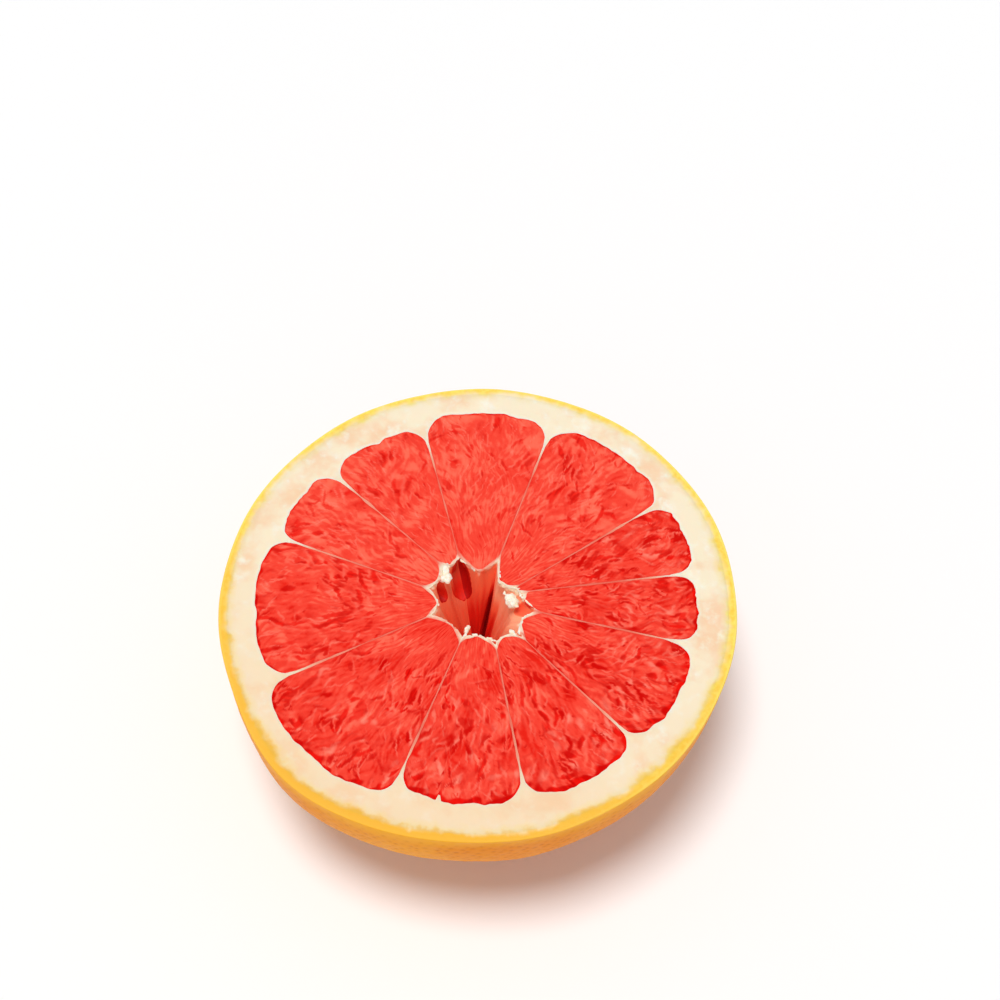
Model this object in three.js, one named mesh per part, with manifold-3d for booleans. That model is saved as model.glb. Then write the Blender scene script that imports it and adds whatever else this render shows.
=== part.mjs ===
import * as THREE from 'three';
import { mergeVertices } from 'three/addons/utils/BufferGeometryUtils.js';
import Module from 'manifold-3d';

const wasm = await Module();
wasm.setup();

// One half of a pomelo, cut across its equator and resting on its blossom end with the cut face up.
// Millimetres, +Z up. The origin is the middle of the flat spot that it rests on.
// Angles are degrees, anticlockwise from +X as seen from above.

// Whole half
const EQUATOR_RADIUS = 55; // mean radius of the cut face
const HALF_DEPTH = 48; // flat spot to cut face
const FLAT_SPOT_RADIUS = 9.5; // where the blossom end rests
const PROFILE_POWER = 2.15; // 2 is an ellipse, more is squarer
const OVAL = { swell: 0.007, at: 47 }; // the cut face is slightly oval
const SHOULDER = { swell: 0.034, at: 231, width: 17 }; // one low bulge of the rim
const WAVE = { swell: 0.002, at: 56 }; // faint swell over each segment

// Layers
const PEEL = 1.8; // yellow skin
const SEPTUM = 0.8; // pale wall between two segments
const LINING = 1.0; // pale wall round the open core
const POLE_RIND = 8.5; // skin and pith under the segments at the blossom end
const CLEARANCE = 0.3; // kept between neighbouring pieces

// Open core: widest at the cut face, closing downwards like half a spindle
const CORE_DEPTH = 32; // where its sides would meet
const CORE_POWER = 1.2; // 1 is a straight cone, more is rounder
const CORE_LEVELS = [0, 6, 12, 18, 24, 28.5]; // depths of its sections
const WAIST_POWER = 2; // 1 gives the core straight sides between its tips, more bulges them inwards

// Each wall runs straight from its foot on the core to its rim end in the pith.
// tip is the core's radius at the foot.
const SEPTUM_REACH = 43;
const SEPTA = [
  { rim: 10.5, foot: 15, tip: 10.0 },
  { rim: 33.3, foot: 24, tip: 9.0 },
  { rim: 71.3, foot: 69, tip: 10.6 },
  { rim: 107.3, foot: 113, tip: 11.4 },
  { rim: 136.8, foot: 134, tip: 11.5 },
  { rim: 162.0, foot: 166, tip: 11.0 },
  { rim: 206.0, foot: 201, tip: 10.2 },
  { rim: 250.0, foot: 250, tip: 9.2 },
  { rim: 283.5, foot: 290, tip: 10.7 },
  { rim: 316.0, foot: 318, tip: 12.0 },
  { rim: 348.7, foot: 350, tip: 12.0 },
];

// The segment after each wall: reach is its outer radius, waist the core's radius at its middle.
const SEGMENTS = [
  { reach: 47.6, waist: 8.6 },
  { reach: 48.4, waist: 7.0 },
  { reach: 48.0, waist: 7.3 },
  { reach: 46.2, waist: 10.6 },
  { reach: 46.4, waist: 10.0 },
  { reach: 47.4, waist: 8.8 },
  { reach: 49.8, waist: 8.1 },
  { reach: 46.6, waist: 8.3 },
  { reach: 46.6, waist: 9.8 },
  { reach: 46.8, waist: 10.2 },
  { reach: 46.6, waist: 9.6 },
];
const CORNER = { depth: 0.13, power: 5, curve: 0.45 }; // round outer corners, as shares of the reach
const TOE = { width: 1.4, round: 1.2, power: 4 }; // a segment's inner end: least width, round corners
const HEEL = 2.5; // length left to a segment at its lowest section

// Facets
const TURN_STEPS = 60; // round the peel and pith
const PROFILE_STEPS = 11; // rim to flat spot
const LEVEL_STEPS = 7; // cut face to the bottom of a segment
const LAST_LEVEL = 78; // degrees round the segment's quarter-ellipse
const ARC_SHARES = [0, 0.03, 0.09, 0.2, 0.35, 0.5, 0.65, 0.8, 0.91, 0.97, 1];
const EDGE_SHARES = [1, 0.8, 0.5, 0.2, 0];
const CORE_SHARES = [0, 0.25, 0.5, 0.75];
const RISE = 1; // cutting solids stand this far above the cut face

const rad = THREE.MathUtils.degToRad;
const lerp = THREE.MathUtils.lerp;

// Radius of the fruit at an angle, as a share of its mean radius.
function girth(angle) {
  const oval = OVAL.swell * Math.cos(2 * (angle - rad(OVAL.at)));
  const wave = WAVE.swell * Math.cos(SEGMENTS.length * (angle - rad(WAVE.at)));
  const turn = angle - rad(SHOULDER.at);
  const away = Math.atan2(Math.sin(turn), Math.cos(turn)) / rad(SHOULDER.width);
  return 1 + oval + wave + SHOULDER.swell * Math.exp(-away * away);
}

// A closed three.js geometry as a solid that can be cut.
function toSolid(geometry) {
  geometry.deleteAttribute('normal');
  geometry.deleteAttribute('uv');
  const merged = mergeVertices(geometry, 1e-4);
  return new wasm.Manifold(
    new wasm.Mesh({
      numProp: 3,
      vertProperties: new Float32Array(merged.getAttribute('position').array),
      triVerts: new Uint32Array(merged.getIndex().array),
    }),
  );
}

// A cut solid as a three.js geometry again.
function toGeometry(solid) {
  const mesh = solid.getMesh();
  const geometry = new THREE.BufferGeometry();
  geometry.setAttribute('position', new THREE.BufferAttribute(mesh.vertProperties, 3));
  geometry.setIndex(new THREE.BufferAttribute(mesh.triVerts, 1));
  geometry.computeVertexNormals();
  return geometry;
}

// The half fruit's outer form, drawn in by inset on every side, with its top raised by rise.
function bowl(inset, rise) {
  const radius = EQUATOR_RADIUS - inset;
  const depth = HALF_DEPTH - inset;
  const flatShare = FLAT_SPOT_RADIUS / EQUATOR_RADIUS;
  const flatTurn = Math.acos(flatShare ** (PROFILE_POWER / 2));
  const fullDepth = depth / Math.sin(flatTurn) ** (2 / PROFILE_POWER);
  const profile = [new THREE.Vector2(0, inset)];
  for (let step = 0; step <= PROFILE_STEPS; step += 1) {
    const turn = flatTurn * (1 - step / PROFILE_STEPS);
    const across = radius * Math.cos(turn) ** (2 / PROFILE_POWER);
    const down = fullDepth * Math.sin(turn) ** (2 / PROFILE_POWER);
    profile.push(new THREE.Vector2(across, HALF_DEPTH - down));
  }
  if (rise > 0) profile.push(new THREE.Vector2(radius, HALF_DEPTH + rise));
  profile.push(new THREE.Vector2(0, HALF_DEPTH + rise));

  const geometry = new THREE.LatheGeometry(profile, TURN_STEPS);
  geometry.rotateX(Math.PI / 2);
  const position = geometry.getAttribute('position');
  for (let vertex = 0; vertex < position.count; vertex += 1) {
    const x = position.getX(vertex);
    const y = position.getY(vertex);
    const swell = girth(Math.atan2(y, x));
    position.setXY(vertex, x * swell, y * swell);
  }
  return toSolid(geometry);
}

// A closed solid through a stack of sections, top first, each the same number of points
// anticlockwise round its own middle.
function loft(sections) {
  const count = sections[0].length;
  const levels = sections.length - 1;
  const middles = sections.map((section) =>
    section.reduce((sum, point) => sum.add(point), new THREE.Vector3()).divideScalar(count),
  );
  const geometry = new THREE.CylinderGeometry(1, 1, 1, count, levels);
  const position = geometry.getAttribute('position');
  for (let vertex = 0; vertex < position.count; vertex += 1) {
    const level = Math.round((0.5 - position.getY(vertex)) * levels);
    const across = position.getX(vertex);
    const along = position.getZ(vertex);
    const turn = Math.atan2(across, along) / (2 * Math.PI);
    const corner = (Math.round(turn * count) + count) % count;
    const onAxis = Math.hypot(across, along) < 0.5;
    const place = onAxis ? middles[level] : sections[level][corner];
    position.setXYZ(vertex, place.x, place.y, place.z);
  }
  return toSolid(geometry);
}

// Angle of a wall's middle plane at a radius: straight from foot to rim end.
function septumAngle(septum, radius) {
  const atFoot = 1 / septum.tip - 1 / SEPTUM_REACH;
  const lean = THREE.MathUtils.clamp((1 / radius - 1 / SEPTUM_REACH) / atFoot, 0, 1);
  return rad(lerp(septum.rim, septum.foot, lean));
}

// The two sides of segment i at a radius, as angles, with its walls drawn in by inset.
function sides(i, radius, inset) {
  const next = (i + 1) % SEPTA.length;
  const wrap = next === 0 ? 2 * Math.PI : 0;
  const half = (SEPTUM / 2 + inset) / radius;
  return [
    septumAngle(SEPTA[i], radius) + half,
    septumAngle(SEPTA[next], radius) + wrap - half,
  ];
}

// The radius at which segment i has narrowed to its toe.
function toeRadius(i) {
  let radius = LINING;
  let [start, end] = sides(i, radius, 0);
  while (radius * (end - start) < TOE.width) {
    radius += 0.1;
    [start, end] = sides(i, radius, 0);
  }
  return radius;
}

// Width of the open core at a depth below the cut face, as a share of its width there.
function coreScale(depth) {
  return 1 - THREE.MathUtils.clamp(depth / CORE_DEPTH, 0, 1) ** CORE_POWER;
}

// Radius of the open core at the cut face, across segment i: a tip at each side and a waist between.
function coreRadius(i, along) {
  const { waist } = SEGMENTS[i];
  const { tip } = SEPTA[along < 0.5 ? i : (i + 1) % SEPTA.length];
  return lerp(waist, tip, Math.abs(2 * along - 1) ** WAIST_POWER);
}

// One horizontal section of segment i, anticlockwise, at a depth where the pulp's radius is share
// of what it is at the cut face.
function section(i, share, depth, z, inset) {
  const { reach } = SEGMENTS[i];
  const toe = toeRadius(i);
  const point = (radius, along) => {
    const [start, end] = sides(i, radius, inset);
    const angle = lerp(start, end, along);
    return new THREE.Vector3(radius * Math.cos(angle), radius * Math.sin(angle), z);
  };
  const edgeRadius = (along) => {
    const round = TOE.round * Math.abs(2 * along - 1) ** TOE.power;
    return Math.max(coreRadius(i, along) * coreScale(depth) + LINING, toe) + round + inset;
  };
  const arc = ARC_SHARES.map((along) => {
    const side = Math.abs(2 * along - 1);
    const round = (1 - side ** CORNER.power) ** CORNER.curve;
    const full = reach * share * (1 - CORNER.depth * (1 - round)) - inset;
    return point(Math.max(full, edgeRadius(along) + HEEL), along);
  });
  return [...arc, ...EDGE_SHARES.map((along) => point(edgeRadius(along), along))];
}

// Segment i, or the pocket that holds it when inset is 0.
function wedge(i, inset, rise) {
  const fullDepth = HALF_DEPTH - POLE_RIND - inset;
  const sections = [];
  if (rise > 0) sections.push(section(i, 1, 0, HALF_DEPTH + rise, inset));
  for (let step = 0; step <= LEVEL_STEPS; step += 1) {
    const turn = rad((LAST_LEVEL * step) / LEVEL_STEPS);
    const share = Math.cos(turn) ** (2 / PROFILE_POWER);
    const depth = fullDepth * Math.sin(turn) ** (2 / PROFILE_POWER);
    sections.push(section(i, share, depth, HALF_DEPTH - depth, inset));
  }
  return loft(sections);
}

// The star-shaped open core, with a tip at each wall and a waist at each segment.
function core() {
  const outline = (scale, z) =>
    SEGMENTS.flatMap((_, i) => {
      const [start, end] = sides(i, SEPTA[i].tip, -SEPTUM / 2);
      return CORE_SHARES.map((along) => {
        const angle = lerp(start, end, along);
        const radius = coreRadius(i, along) * scale;
        return new THREE.Vector3(radius * Math.cos(angle), radius * Math.sin(angle), z);
      });
    });
  const levels = CORE_LEVELS.map((depth) => outline(coreScale(depth), HALF_DEPTH - depth));
  return loft([outline(1, HALF_DEPTH + RISE), ...levels]);
}

// A named piece with its own material.
function piece(name, solid, look) {
  const mesh = new THREE.Mesh(toGeometry(solid), new THREE.MeshStandardMaterial(look));
  mesh.name = name;
  return mesh;
}

// Yellow outer skin: a cup of even thickness, open at the cut face.
function makePeel() {
  const skin = bowl(0, 0).subtract(bowl(PEEL, RISE));
  return piece('peel', skin, { color: '#efb53c', roughness: 0.45, metalness: 0 });
}

// Pale pith with the walls between the segments and the lining of the open core.
function makePith() {
  const pockets = SEGMENTS.map((_, i) => wedge(i, 0, RISE));
  const body = [...pockets, core()].reduce(
    (left, cut) => left.subtract(cut),
    bowl(PEEL + CLEARANCE, 0),
  );
  return piece('pith', body, { color: '#fbe6cb', roughness: 0.8, metalness: 0 });
}

// Red pulp of segment i.
function makeSegment(i) {
  const name = `segment_${String(i + 1).padStart(2, '0')}`;
  return piece(name, wedge(i, CLEARANCE, 0), { color: '#f0453a', roughness: 0.3, metalness: 0 });
}

const group = new THREE.Group();
group.add(makePeel());
group.add(makePith());
SEGMENTS.forEach((_, i) => group.add(makeSegment(i)));

export default group;
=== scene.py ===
"""Looks of a pomelo half: fine peel, pith, pulp and core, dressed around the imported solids."""

import logging
import math
from dataclasses import dataclass, replace
from enum import Enum
from typing import Sequence

import bmesh
import bpy
import numpy as np
from bmesh.types import BMEdge, BMesh, BMLayerItem, BMVert
from bpy.types import Material, Mesh, Node, NodeSocket as Socket, NodeTree, Object
from mathutils import Matrix, Vector
from mathutils.kdtree import KDTree


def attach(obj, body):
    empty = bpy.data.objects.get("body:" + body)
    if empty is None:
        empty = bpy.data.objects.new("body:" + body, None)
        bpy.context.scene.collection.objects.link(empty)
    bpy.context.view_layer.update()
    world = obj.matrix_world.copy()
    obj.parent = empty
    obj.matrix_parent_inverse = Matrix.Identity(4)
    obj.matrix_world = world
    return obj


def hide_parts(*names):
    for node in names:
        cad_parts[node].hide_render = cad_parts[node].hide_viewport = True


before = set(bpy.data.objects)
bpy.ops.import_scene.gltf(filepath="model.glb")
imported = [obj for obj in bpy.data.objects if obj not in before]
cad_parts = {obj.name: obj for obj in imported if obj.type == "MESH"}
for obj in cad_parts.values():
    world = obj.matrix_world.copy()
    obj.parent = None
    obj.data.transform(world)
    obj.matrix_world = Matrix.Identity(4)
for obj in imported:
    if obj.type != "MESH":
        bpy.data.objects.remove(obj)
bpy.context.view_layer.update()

LOG = logging.getLogger("pomelo")
MM = 0.001
TAU = 2 * math.pi
BODY = "root"

Array = np.ndarray
Pair = tuple[float, float]
Triple = tuple[float, float, float]
Value = float | Socket


class Slot(Enum):
    """The record's material slots."""

    PEEL = "peel"
    PITH = "pith"
    PULP = "pulp"


# -------- shape of the fruit


def smoothstep(low: float, high: float, value: Array) -> Array:
    """A soft step from 0 where the value is low to 1 where it is high, which may be the less."""
    share = np.clip((value - low) / (high - low), 0.0, 1.0)
    return share * share * (3 - 2 * share)


@dataclass(frozen=True)
class WaveNoise:
    """Smooth seeded noise about 0, made of crossing waves; height is its spread."""

    seed: int
    scale: float
    height: float = 1.0
    waves: int = 18

    def __call__(
        self, x: Array, y: Array | float = 0.0, z: Array | float = 0.0, shift: int = 0
    ) -> Array:
        """The noise at some places.

        Args:
            x: places along X.
            y: places along Y.
            z: places along Z.
            shift: added to the seed.

        Returns:
            One value for each place, mostly within twice the height.
        """
        rng = np.random.default_rng(self.seed + shift)
        heading = rng.normal(size=(self.waves, 3))
        heading /= np.linalg.norm(heading, axis=1)[:, None]
        pitch = TAU / (self.scale * rng.uniform(0.7, 1.8, self.waves))
        phase = rng.uniform(0, TAU, self.waves)
        total = np.zeros(np.broadcast(x, y, z).shape)
        for (a, b, c), k, start in zip(heading, pitch, phase):
            total += np.sin(k * (a * x + b * y + c * z) + start)
        return self.height * (total * math.sqrt(2 / self.waves))


@dataclass(frozen=True)
class Septum:
    """A wall between two segments, straight from its foot on the core to its rim end."""

    rim: float
    foot: float
    tip: float


@dataclass(frozen=True)
class SegmentShape:
    """The segment after a wall: its outer radius, and the core's radius at its middle."""

    reach: float
    waist: float


@dataclass(frozen=True)
class Notch:
    """A dent in a segment's outer arc; its place and its width are shares of the arc."""

    segment: int
    at: float
    depth: float
    width: float


@dataclass(frozen=True)
class FruitPlan:
    """Plan and profile of the half fruit. Millimetres and degrees, anticlockwise from +X."""

    face: float = 48.0
    equator: float = 55.0
    flat_spot: float = 9.5
    profile_power: float = 2.15
    oval: Pair = (0.007, 47.0)
    shoulder: Triple = (0.034, 231.0, 17.0)
    wave: Pair = (0.002, 56.0)
    peel: float = 1.8
    skin_margin: float = 0.1
    pole_rind: float = 8.5
    rind_sink: float = 0.06
    rind_relief: tuple[tuple[WaveNoise, float, float], ...] = (
        (WaveNoise(11, 9.0), 0.015, 1.5),
        (WaveNoise(12, 2.2), 0.008, 2.0),
    )
    lining: float = 0.48
    lining_swell: Triple = (0.65, 0.5, 3.0)
    septum_reach: float = 43.0
    wall: Pair = (0.13, 0.1)
    wall_span: Pair = (14.0, 42.0)
    wall_waver: WaveNoise = WaveNoise(40, 4.0, 0.22)
    core_depth: float = 32.0
    core_power: float = 1.2
    corner: Triple = (0.13, 5.0, 0.45)
    toe: Triple = (1.0, 1.1, 4.0)
    setback: float = 2.6
    setback_depths: Pair = (0.8, 4.0)
    edge_waver: WaveNoise = WaveNoise(90, 0.35, 0.12)
    arc_wavers: tuple[WaveNoise, ...] = (WaveNoise(60, 0.2, 0.17), WaveNoise(70, 0.07, 0.08))
    notches: tuple[Notch, ...] = (
        Notch(7, 0.34, 1.9, 0.012), Notch(3, 0.45, 0.5, 0.03), Notch(0, 0.6, 0.4, 0.04),
    )
    septa: tuple[Septum, ...] = (
        Septum(10.5, 15, 9.4), Septum(33.3, 24, 8.0), Septum(71.3, 69, 10.6),
        Septum(107.3, 113, 11.4), Septum(136.8, 134, 11.5), Septum(162.0, 166, 11.0),
        Septum(206.0, 201, 10.2), Septum(250.0, 250, 9.2), Septum(283.5, 290, 10.7),
        Septum(316.0, 318, 12.0), Septum(348.7, 350, 12.0),
    )
    segments: tuple[SegmentShape, ...] = (
        SegmentShape(47.6, 8.6), SegmentShape(48.4, 6.3), SegmentShape(48.0, 7.3),
        SegmentShape(46.2, 10.6), SegmentShape(46.4, 10.0), SegmentShape(47.4, 8.8),
        SegmentShape(49.8, 8.1), SegmentShape(46.6, 8.3), SegmentShape(46.6, 9.8),
        SegmentShape(46.8, 10.2), SegmentShape(46.6, 9.6),
    )

    def girth(self, angle: Array) -> Array:
        """How wide the fruit is at an angle.

        Args:
            angle: radians.

        Returns:
            The radius as a share of the mean radius.
        """
        oval, oval_at = self.oval
        swell, swell_at, width = self.shoulder
        wave, wave_at = self.wave
        turn = angle - math.radians(swell_at)
        away = np.arctan2(np.sin(turn), np.cos(turn)) / math.radians(width)
        return (
            1
            + oval * np.cos(2 * (angle - math.radians(oval_at)))
            + wave * np.cos(len(self.septa) * (angle - math.radians(wave_at)))
            + swell * np.exp(-away * away)
        )

    def profile(self, turn: Array, inset: float) -> tuple[Array, Array]:
        """The fruit's side from the cut face down.

        Args:
            turn: radians, 0 at the cut face and a quarter turn at the blossom end.
            inset: how far the surface lies inside the skin.

        Returns:
            Radius before the girth, and height.
        """
        flat = math.acos((self.flat_spot / self.equator) ** (self.profile_power / 2))
        full = (self.face - inset) / math.sin(flat) ** (2 / self.profile_power)
        across = (self.equator - inset) * np.cos(turn) ** (2 / self.profile_power)
        down = full * np.sin(turn) ** (2 / self.profile_power)
        return across, np.maximum(self.face - down, inset)

    def skin_radius(self, angle: Array, inset: float = 0.0) -> Array:
        """Radius at the cut face of a surface that lies inset inside the skin."""
        return self.equator * self.girth(angle) - self.skin_margin - inset

    def cut_height(self, x: Array, y: Array) -> Array:
        """The surface of the cut rind, which is nearly flat.

        Args:
            x: places along X.
            y: places along Y.

        Returns:
            Its height at each place.
        """
        height = self.face - self.rind_sink
        for noise, rise, limit in self.rind_relief:
            height = height + rise * np.clip(noise(x, y), -limit, limit)
        return height

    def septum_angle(self, index: int, radius: Array) -> Array:
        """The direction of a wall's middle.

        Args:
            index: the wall.
            radius: where it is asked for.

        Returns:
            Angles in radians.
        """
        septum = self.septa[index]
        at_foot = 1 / septum.tip - 1 / self.septum_reach
        lean = np.clip((1 / radius - 1 / self.septum_reach) / at_foot, 0, 1)
        return np.radians(septum.rim + (septum.foot - septum.rim) * lean)

    def wall_half(self, index: int, radius: Array) -> Array:
        """Half the width of a wall at the cut face, thinner towards the core.

        Args:
            index: the wall.
            radius: where it is asked for.

        Returns:
            Half the width at each radius.
        """
        thin, gain = self.wall
        waver = self.wall_waver(radius, shift=index)
        return (thin + gain * smoothstep(*self.wall_span, radius)) * (1 + waver)

    def sides(self, index: int, radius: Array, inset: float) -> tuple[Array, Array]:
        """The two sides of a segment.

        Args:
            index: the segment.
            radius: where they are asked for.
            inset: how far they are drawn in from the walls.

        Returns:
            Their angles in radians, the second greater than the first.
        """
        after = (index + 1) % len(self.septa)
        wrap = TAU if after == 0 else 0.0
        near = (self.wall_half(index, radius) + inset) / radius
        far = (self.wall_half(after, radius) + inset) / radius
        start = self.septum_angle(index, radius) + near
        return start, self.septum_angle(after, radius) + wrap - far

    def core_scale(self, depth: Array) -> Array:
        """Width of the open core at a depth, as a share of its width at the cut face."""
        return 1 - np.clip(depth / self.core_depth, 0, 1) ** self.core_power

    def core_radius(self, index: int, along: Array) -> Array:
        """The open core's outline at the cut face.

        Args:
            index: the segment that it borders on.
            along: 0 at the segment's first side, 1 at its second.

        Returns:
            Its radius at each place.
        """
        after = (index + 1) % len(self.septa)
        tip = np.where(along < 0.5, self.septa[index].tip, self.septa[after].tip)
        waist = self.segments[index].waist
        return waist + (tip - waist) * np.abs(2 * along - 1) ** 2

    def core_segment(self, angle: Array) -> tuple[Array, Array]:
        """Which segment the core's side borders on.

        Args:
            angle: radians.

        Returns:
            The segment's number, and how far across it each place is, from 0 to 1.
        """
        feet = np.radians([septum.foot for septum in self.septa])
        starts = np.mod(feet - feet[0], TAU)
        ends = np.append(starts[1:], TAU)
        turn = np.mod(angle - feet[0], TAU)
        index = np.searchsorted(starts, turn, side="right") - 1
        return index, (turn - starts[index]) / (ends[index] - starts[index])

    def toe_radius(self, index: int) -> float:
        """The radius at which a segment has narrowed to its least width.

        Args:
            index: the segment.

        Returns:
            The radius.
        """
        radius, step = 2.0, 0.1
        while True:
            near, far = self.sides(index, np.float64(radius), 0.0)
            if radius * (far - near) >= self.toe[0]:
                return radius
            radius += step

    def edge_radius(self, index: int, along: Array, depth: Array) -> Array:
        """Radius of a segment's inner end. Below the cut face it draws back from the core.

        Args:
            index: the segment.
            along: 0 at its first side, 1 at its second.
            depth: below the cut face.

        Returns:
            The radius at each place.
        """
        _, rounding, power = self.toe
        side = np.abs(2 * along - 1)
        corner = rounding * side**power + self.edge_waver(along, shift=index)
        back = self.setback * smoothstep(*self.setback_depths, depth)
        open_core = self.core_radius(index, along) * self.core_scale(depth)
        middle, more, sharp = self.lining_swell
        lining = self.lining * (middle + more * side**sharp)
        return np.maximum(open_core + lining + back, self.toe_radius(index)) + corner

    def arc_radius(self, index: int, along: Array, share: Array) -> Array:
        """Radius of a segment's outer arc, with round corners.

        Args:
            index: the segment.
            along: 0 at its first side, 1 at its second.
            share: the pulp's radius as a share of that at the cut face.

        Returns:
            The arc's radius.
        """
        drop, power, curve = self.corner
        side = np.abs(2 * along - 1)
        full = np.clip(1 - side**power, 0, 1) ** curve
        waver = sum(noise(along, shift=index) for noise in self.arc_wavers)
        for notch in self.notches:
            if notch.segment == index:
                waver = waver - notch.depth * np.exp(-(((along - notch.at) / notch.width) ** 2))
        return (self.segments[index].reach + waver) * share * (1 - drop * (1 - full))


PLAN = FruitPlan()


# -------- mesh helpers


def coordinates(mesh: Mesh) -> Array:
    """Reads a mesh.

    Args:
        mesh: the mesh.

    Returns:
        The places of its vertices, one row each.
    """
    flat = np.empty(len(mesh.vertices) * 3, np.float32)
    mesh.vertices.foreach_get("co", flat)
    return flat.reshape(-1, 3).astype(np.float64)


def set_coordinates(mesh: Mesh, places: Array) -> None:
    """Moves a mesh's vertices to the places, one row each."""
    mesh.vertices.foreach_set("co", places.astype(np.float32).ravel())
    mesh.update()


def read_layer(mesh: Mesh, name: str) -> Array:
    """Reads a float layer of a mesh's vertices.

    Args:
        mesh: the mesh.
        name: the layer's name.

    Returns:
        One value for each vertex.
    """
    values = np.empty(len(mesh.vertices), np.float32)
    mesh.attributes[name].data.foreach_get("value", values)
    return values.astype(np.float64)


def write_layer(mesh: Mesh, name: str, values: Array) -> None:
    """Stores one float for each vertex under a name that the materials read."""
    layer = mesh.attributes.get(name) or mesh.attributes.new(name, "FLOAT", "POINT")
    layer.data.foreach_set("value", values.astype(np.float32))


def to_mesh(work: BMesh, name: str) -> Mesh:
    """Turns a bmesh into a mesh and frees it.

    Args:
        work: the bmesh.
        name: the mesh's name.

    Returns:
        The mesh.
    """
    mesh = bpy.data.meshes.new(name)
    work.to_mesh(mesh)
    work.free()
    return mesh


def to_piece(mesh: Mesh, name: str, finish: Material) -> Object:
    """Puts a finished mesh in the scene with its material.

    Args:
        mesh: the mesh, in place.
        name: the piece's name.
        finish: its material.

    Returns:
        The new object.
    """
    mesh.name = name
    mesh.materials.clear()
    mesh.materials.append(finish)
    piece = bpy.data.objects.new(name, mesh)
    bpy.context.scene.collection.objects.link(piece)
    return piece


def face_outwards(mesh: Mesh) -> None:
    """Turns the faces of a closed mesh outwards.

    Args:
        mesh: the mesh.
    """
    work = bmesh.new()
    work.from_mesh(mesh)
    bmesh.ops.recalc_face_normals(work, faces=work.faces[:])
    work.to_mesh(mesh)
    work.free()


def mark_sharp(mesh: Mesh, degrees: float) -> None:
    """Shades a mesh smooth, with its sharp edges kept.

    Args:
        mesh: the mesh.
        degrees: the angle past which an edge stays sharp.
    """
    work = bmesh.new()
    work.from_mesh(mesh)
    limit = math.radians(degrees)
    for edge in work.edges:
        edge.smooth = edge.is_manifold and edge.calc_face_angle(0.0) < limit
    for face in work.faces:
        face.smooth = True
    work.to_mesh(mesh)
    work.free()
    mesh.update()


def fused(mesh: Mesh, grain: float) -> Mesh:
    """Melts overlapping closed forms into one soft skin.

    Args:
        mesh: the forms.
        grain: the size of the new facets.

    Returns:
        The new mesh, shaded smooth. The old one is removed.
    """
    holder = bpy.data.objects.new("melting", mesh)
    bpy.context.scene.collection.objects.link(holder)
    melt = holder.modifiers.new("melt", "REMESH")
    melt.mode = "VOXEL"
    melt.voxel_size = grain
    melt.use_smooth_shade = True
    soften = holder.modifiers.new("soften", "SMOOTH")
    soften.factor = 0.5
    soften.iterations = 12
    graph = bpy.context.evaluated_depsgraph_get()
    melted = bpy.data.meshes.new_from_object(holder.evaluated_get(graph))
    bpy.data.objects.remove(holder)
    bpy.data.meshes.remove(mesh)
    return melted


def triangles(mesh: Mesh) -> int:
    """Counts a mesh's triangles."""
    mesh.calc_loop_triangles()
    return len(mesh.loop_triangles)


def boundary(work: BMesh) -> list[BMEdge]:
    """The open edges of a bmesh."""
    return [edge for edge in work.edges if edge.is_boundary]


def extruded(work: BMesh, edges: list[BMEdge]) -> list[BMVert]:
    """Draws new faces out of a ring of edges, still flat upon it, and gives the new ring."""
    made = bmesh.ops.extrude_edge_only(work, edges=edges)["geom"]
    return [part for part in made if isinstance(part, BMVert)]


# -------- wedges and pulp


@dataclass
class Wedge:
    """The closed form of one segment, or of the pocket that holds it.

    Its levels are turns in degrees, 90 being the pole.
    """

    index: int
    across_steps: int
    out_steps: int
    inset: float
    rise: float
    levels: tuple[float, ...] = (0.0, 2.0, 12.0, 28.0, 46.0, 64.0, 78.0)
    heel: float = 2.5

    def place(self, along: Array, out: Array, level: Array) -> tuple[Array, Array, Array]:
        """Where a point of the wedge lies.

        Args:
            along: 0 at its first side, 1 at its second.
            out: 0 at its inner end, 1 at its outer arc.
            level: which of the levels, top first.

        Returns:
            X, Y and Z in millimetres.
        """
        turn = np.radians(self.levels)[level.astype(int)]
        share = np.cos(turn) ** (2 / PLAN.profile_power)
        full = PLAN.face - PLAN.pole_rind - self.inset
        depth = full * np.sin(turn) ** (2 / PLAN.profile_power)
        edge = PLAN.edge_radius(self.index, along, depth) + self.inset
        arc = PLAN.arc_radius(self.index, along, share) - self.inset
        arc = np.maximum(arc, edge + self.heel)
        radius = edge + (arc - edge) * out
        start, end = PLAN.sides(self.index, radius, self.inset)
        angle = start + (end - start) * along
        top = np.where(level == 0, PLAN.face + self.rise, PLAN.face - depth)
        return radius * np.cos(angle), radius * np.sin(angle), top

    def shell(self) -> Mesh:
        """Models the wedge.

        Returns:
            The closed mesh, with layers that say where each vertex is in the wedge.
        """
        work = bmesh.new()
        names = ("along", "out", "level")
        along, out, level = (work.verts.layers.float.new(name) for name in names)
        bmesh.ops.create_grid(work, x_segments=self.across_steps, y_segments=self.out_steps, size=0.5)
        for vertex in work.verts:
            vertex[along] = vertex.co.x + 0.5
            vertex[out] = vertex.co.y + 0.5
        for step in range(1, len(self.levels)):
            for vertex in extruded(work, boundary(work)):
                vertex[level] = step
        bmesh.ops.holes_fill(work, edges=boundary(work), sides=0)
        mesh = to_mesh(work, "wedge")
        layers = (read_layer(mesh, name) for name in names)
        set_coordinates(mesh, np.stack(self.place(*layers), axis=1) * MM)
        face_outwards(mesh)
        return mesh


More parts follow.
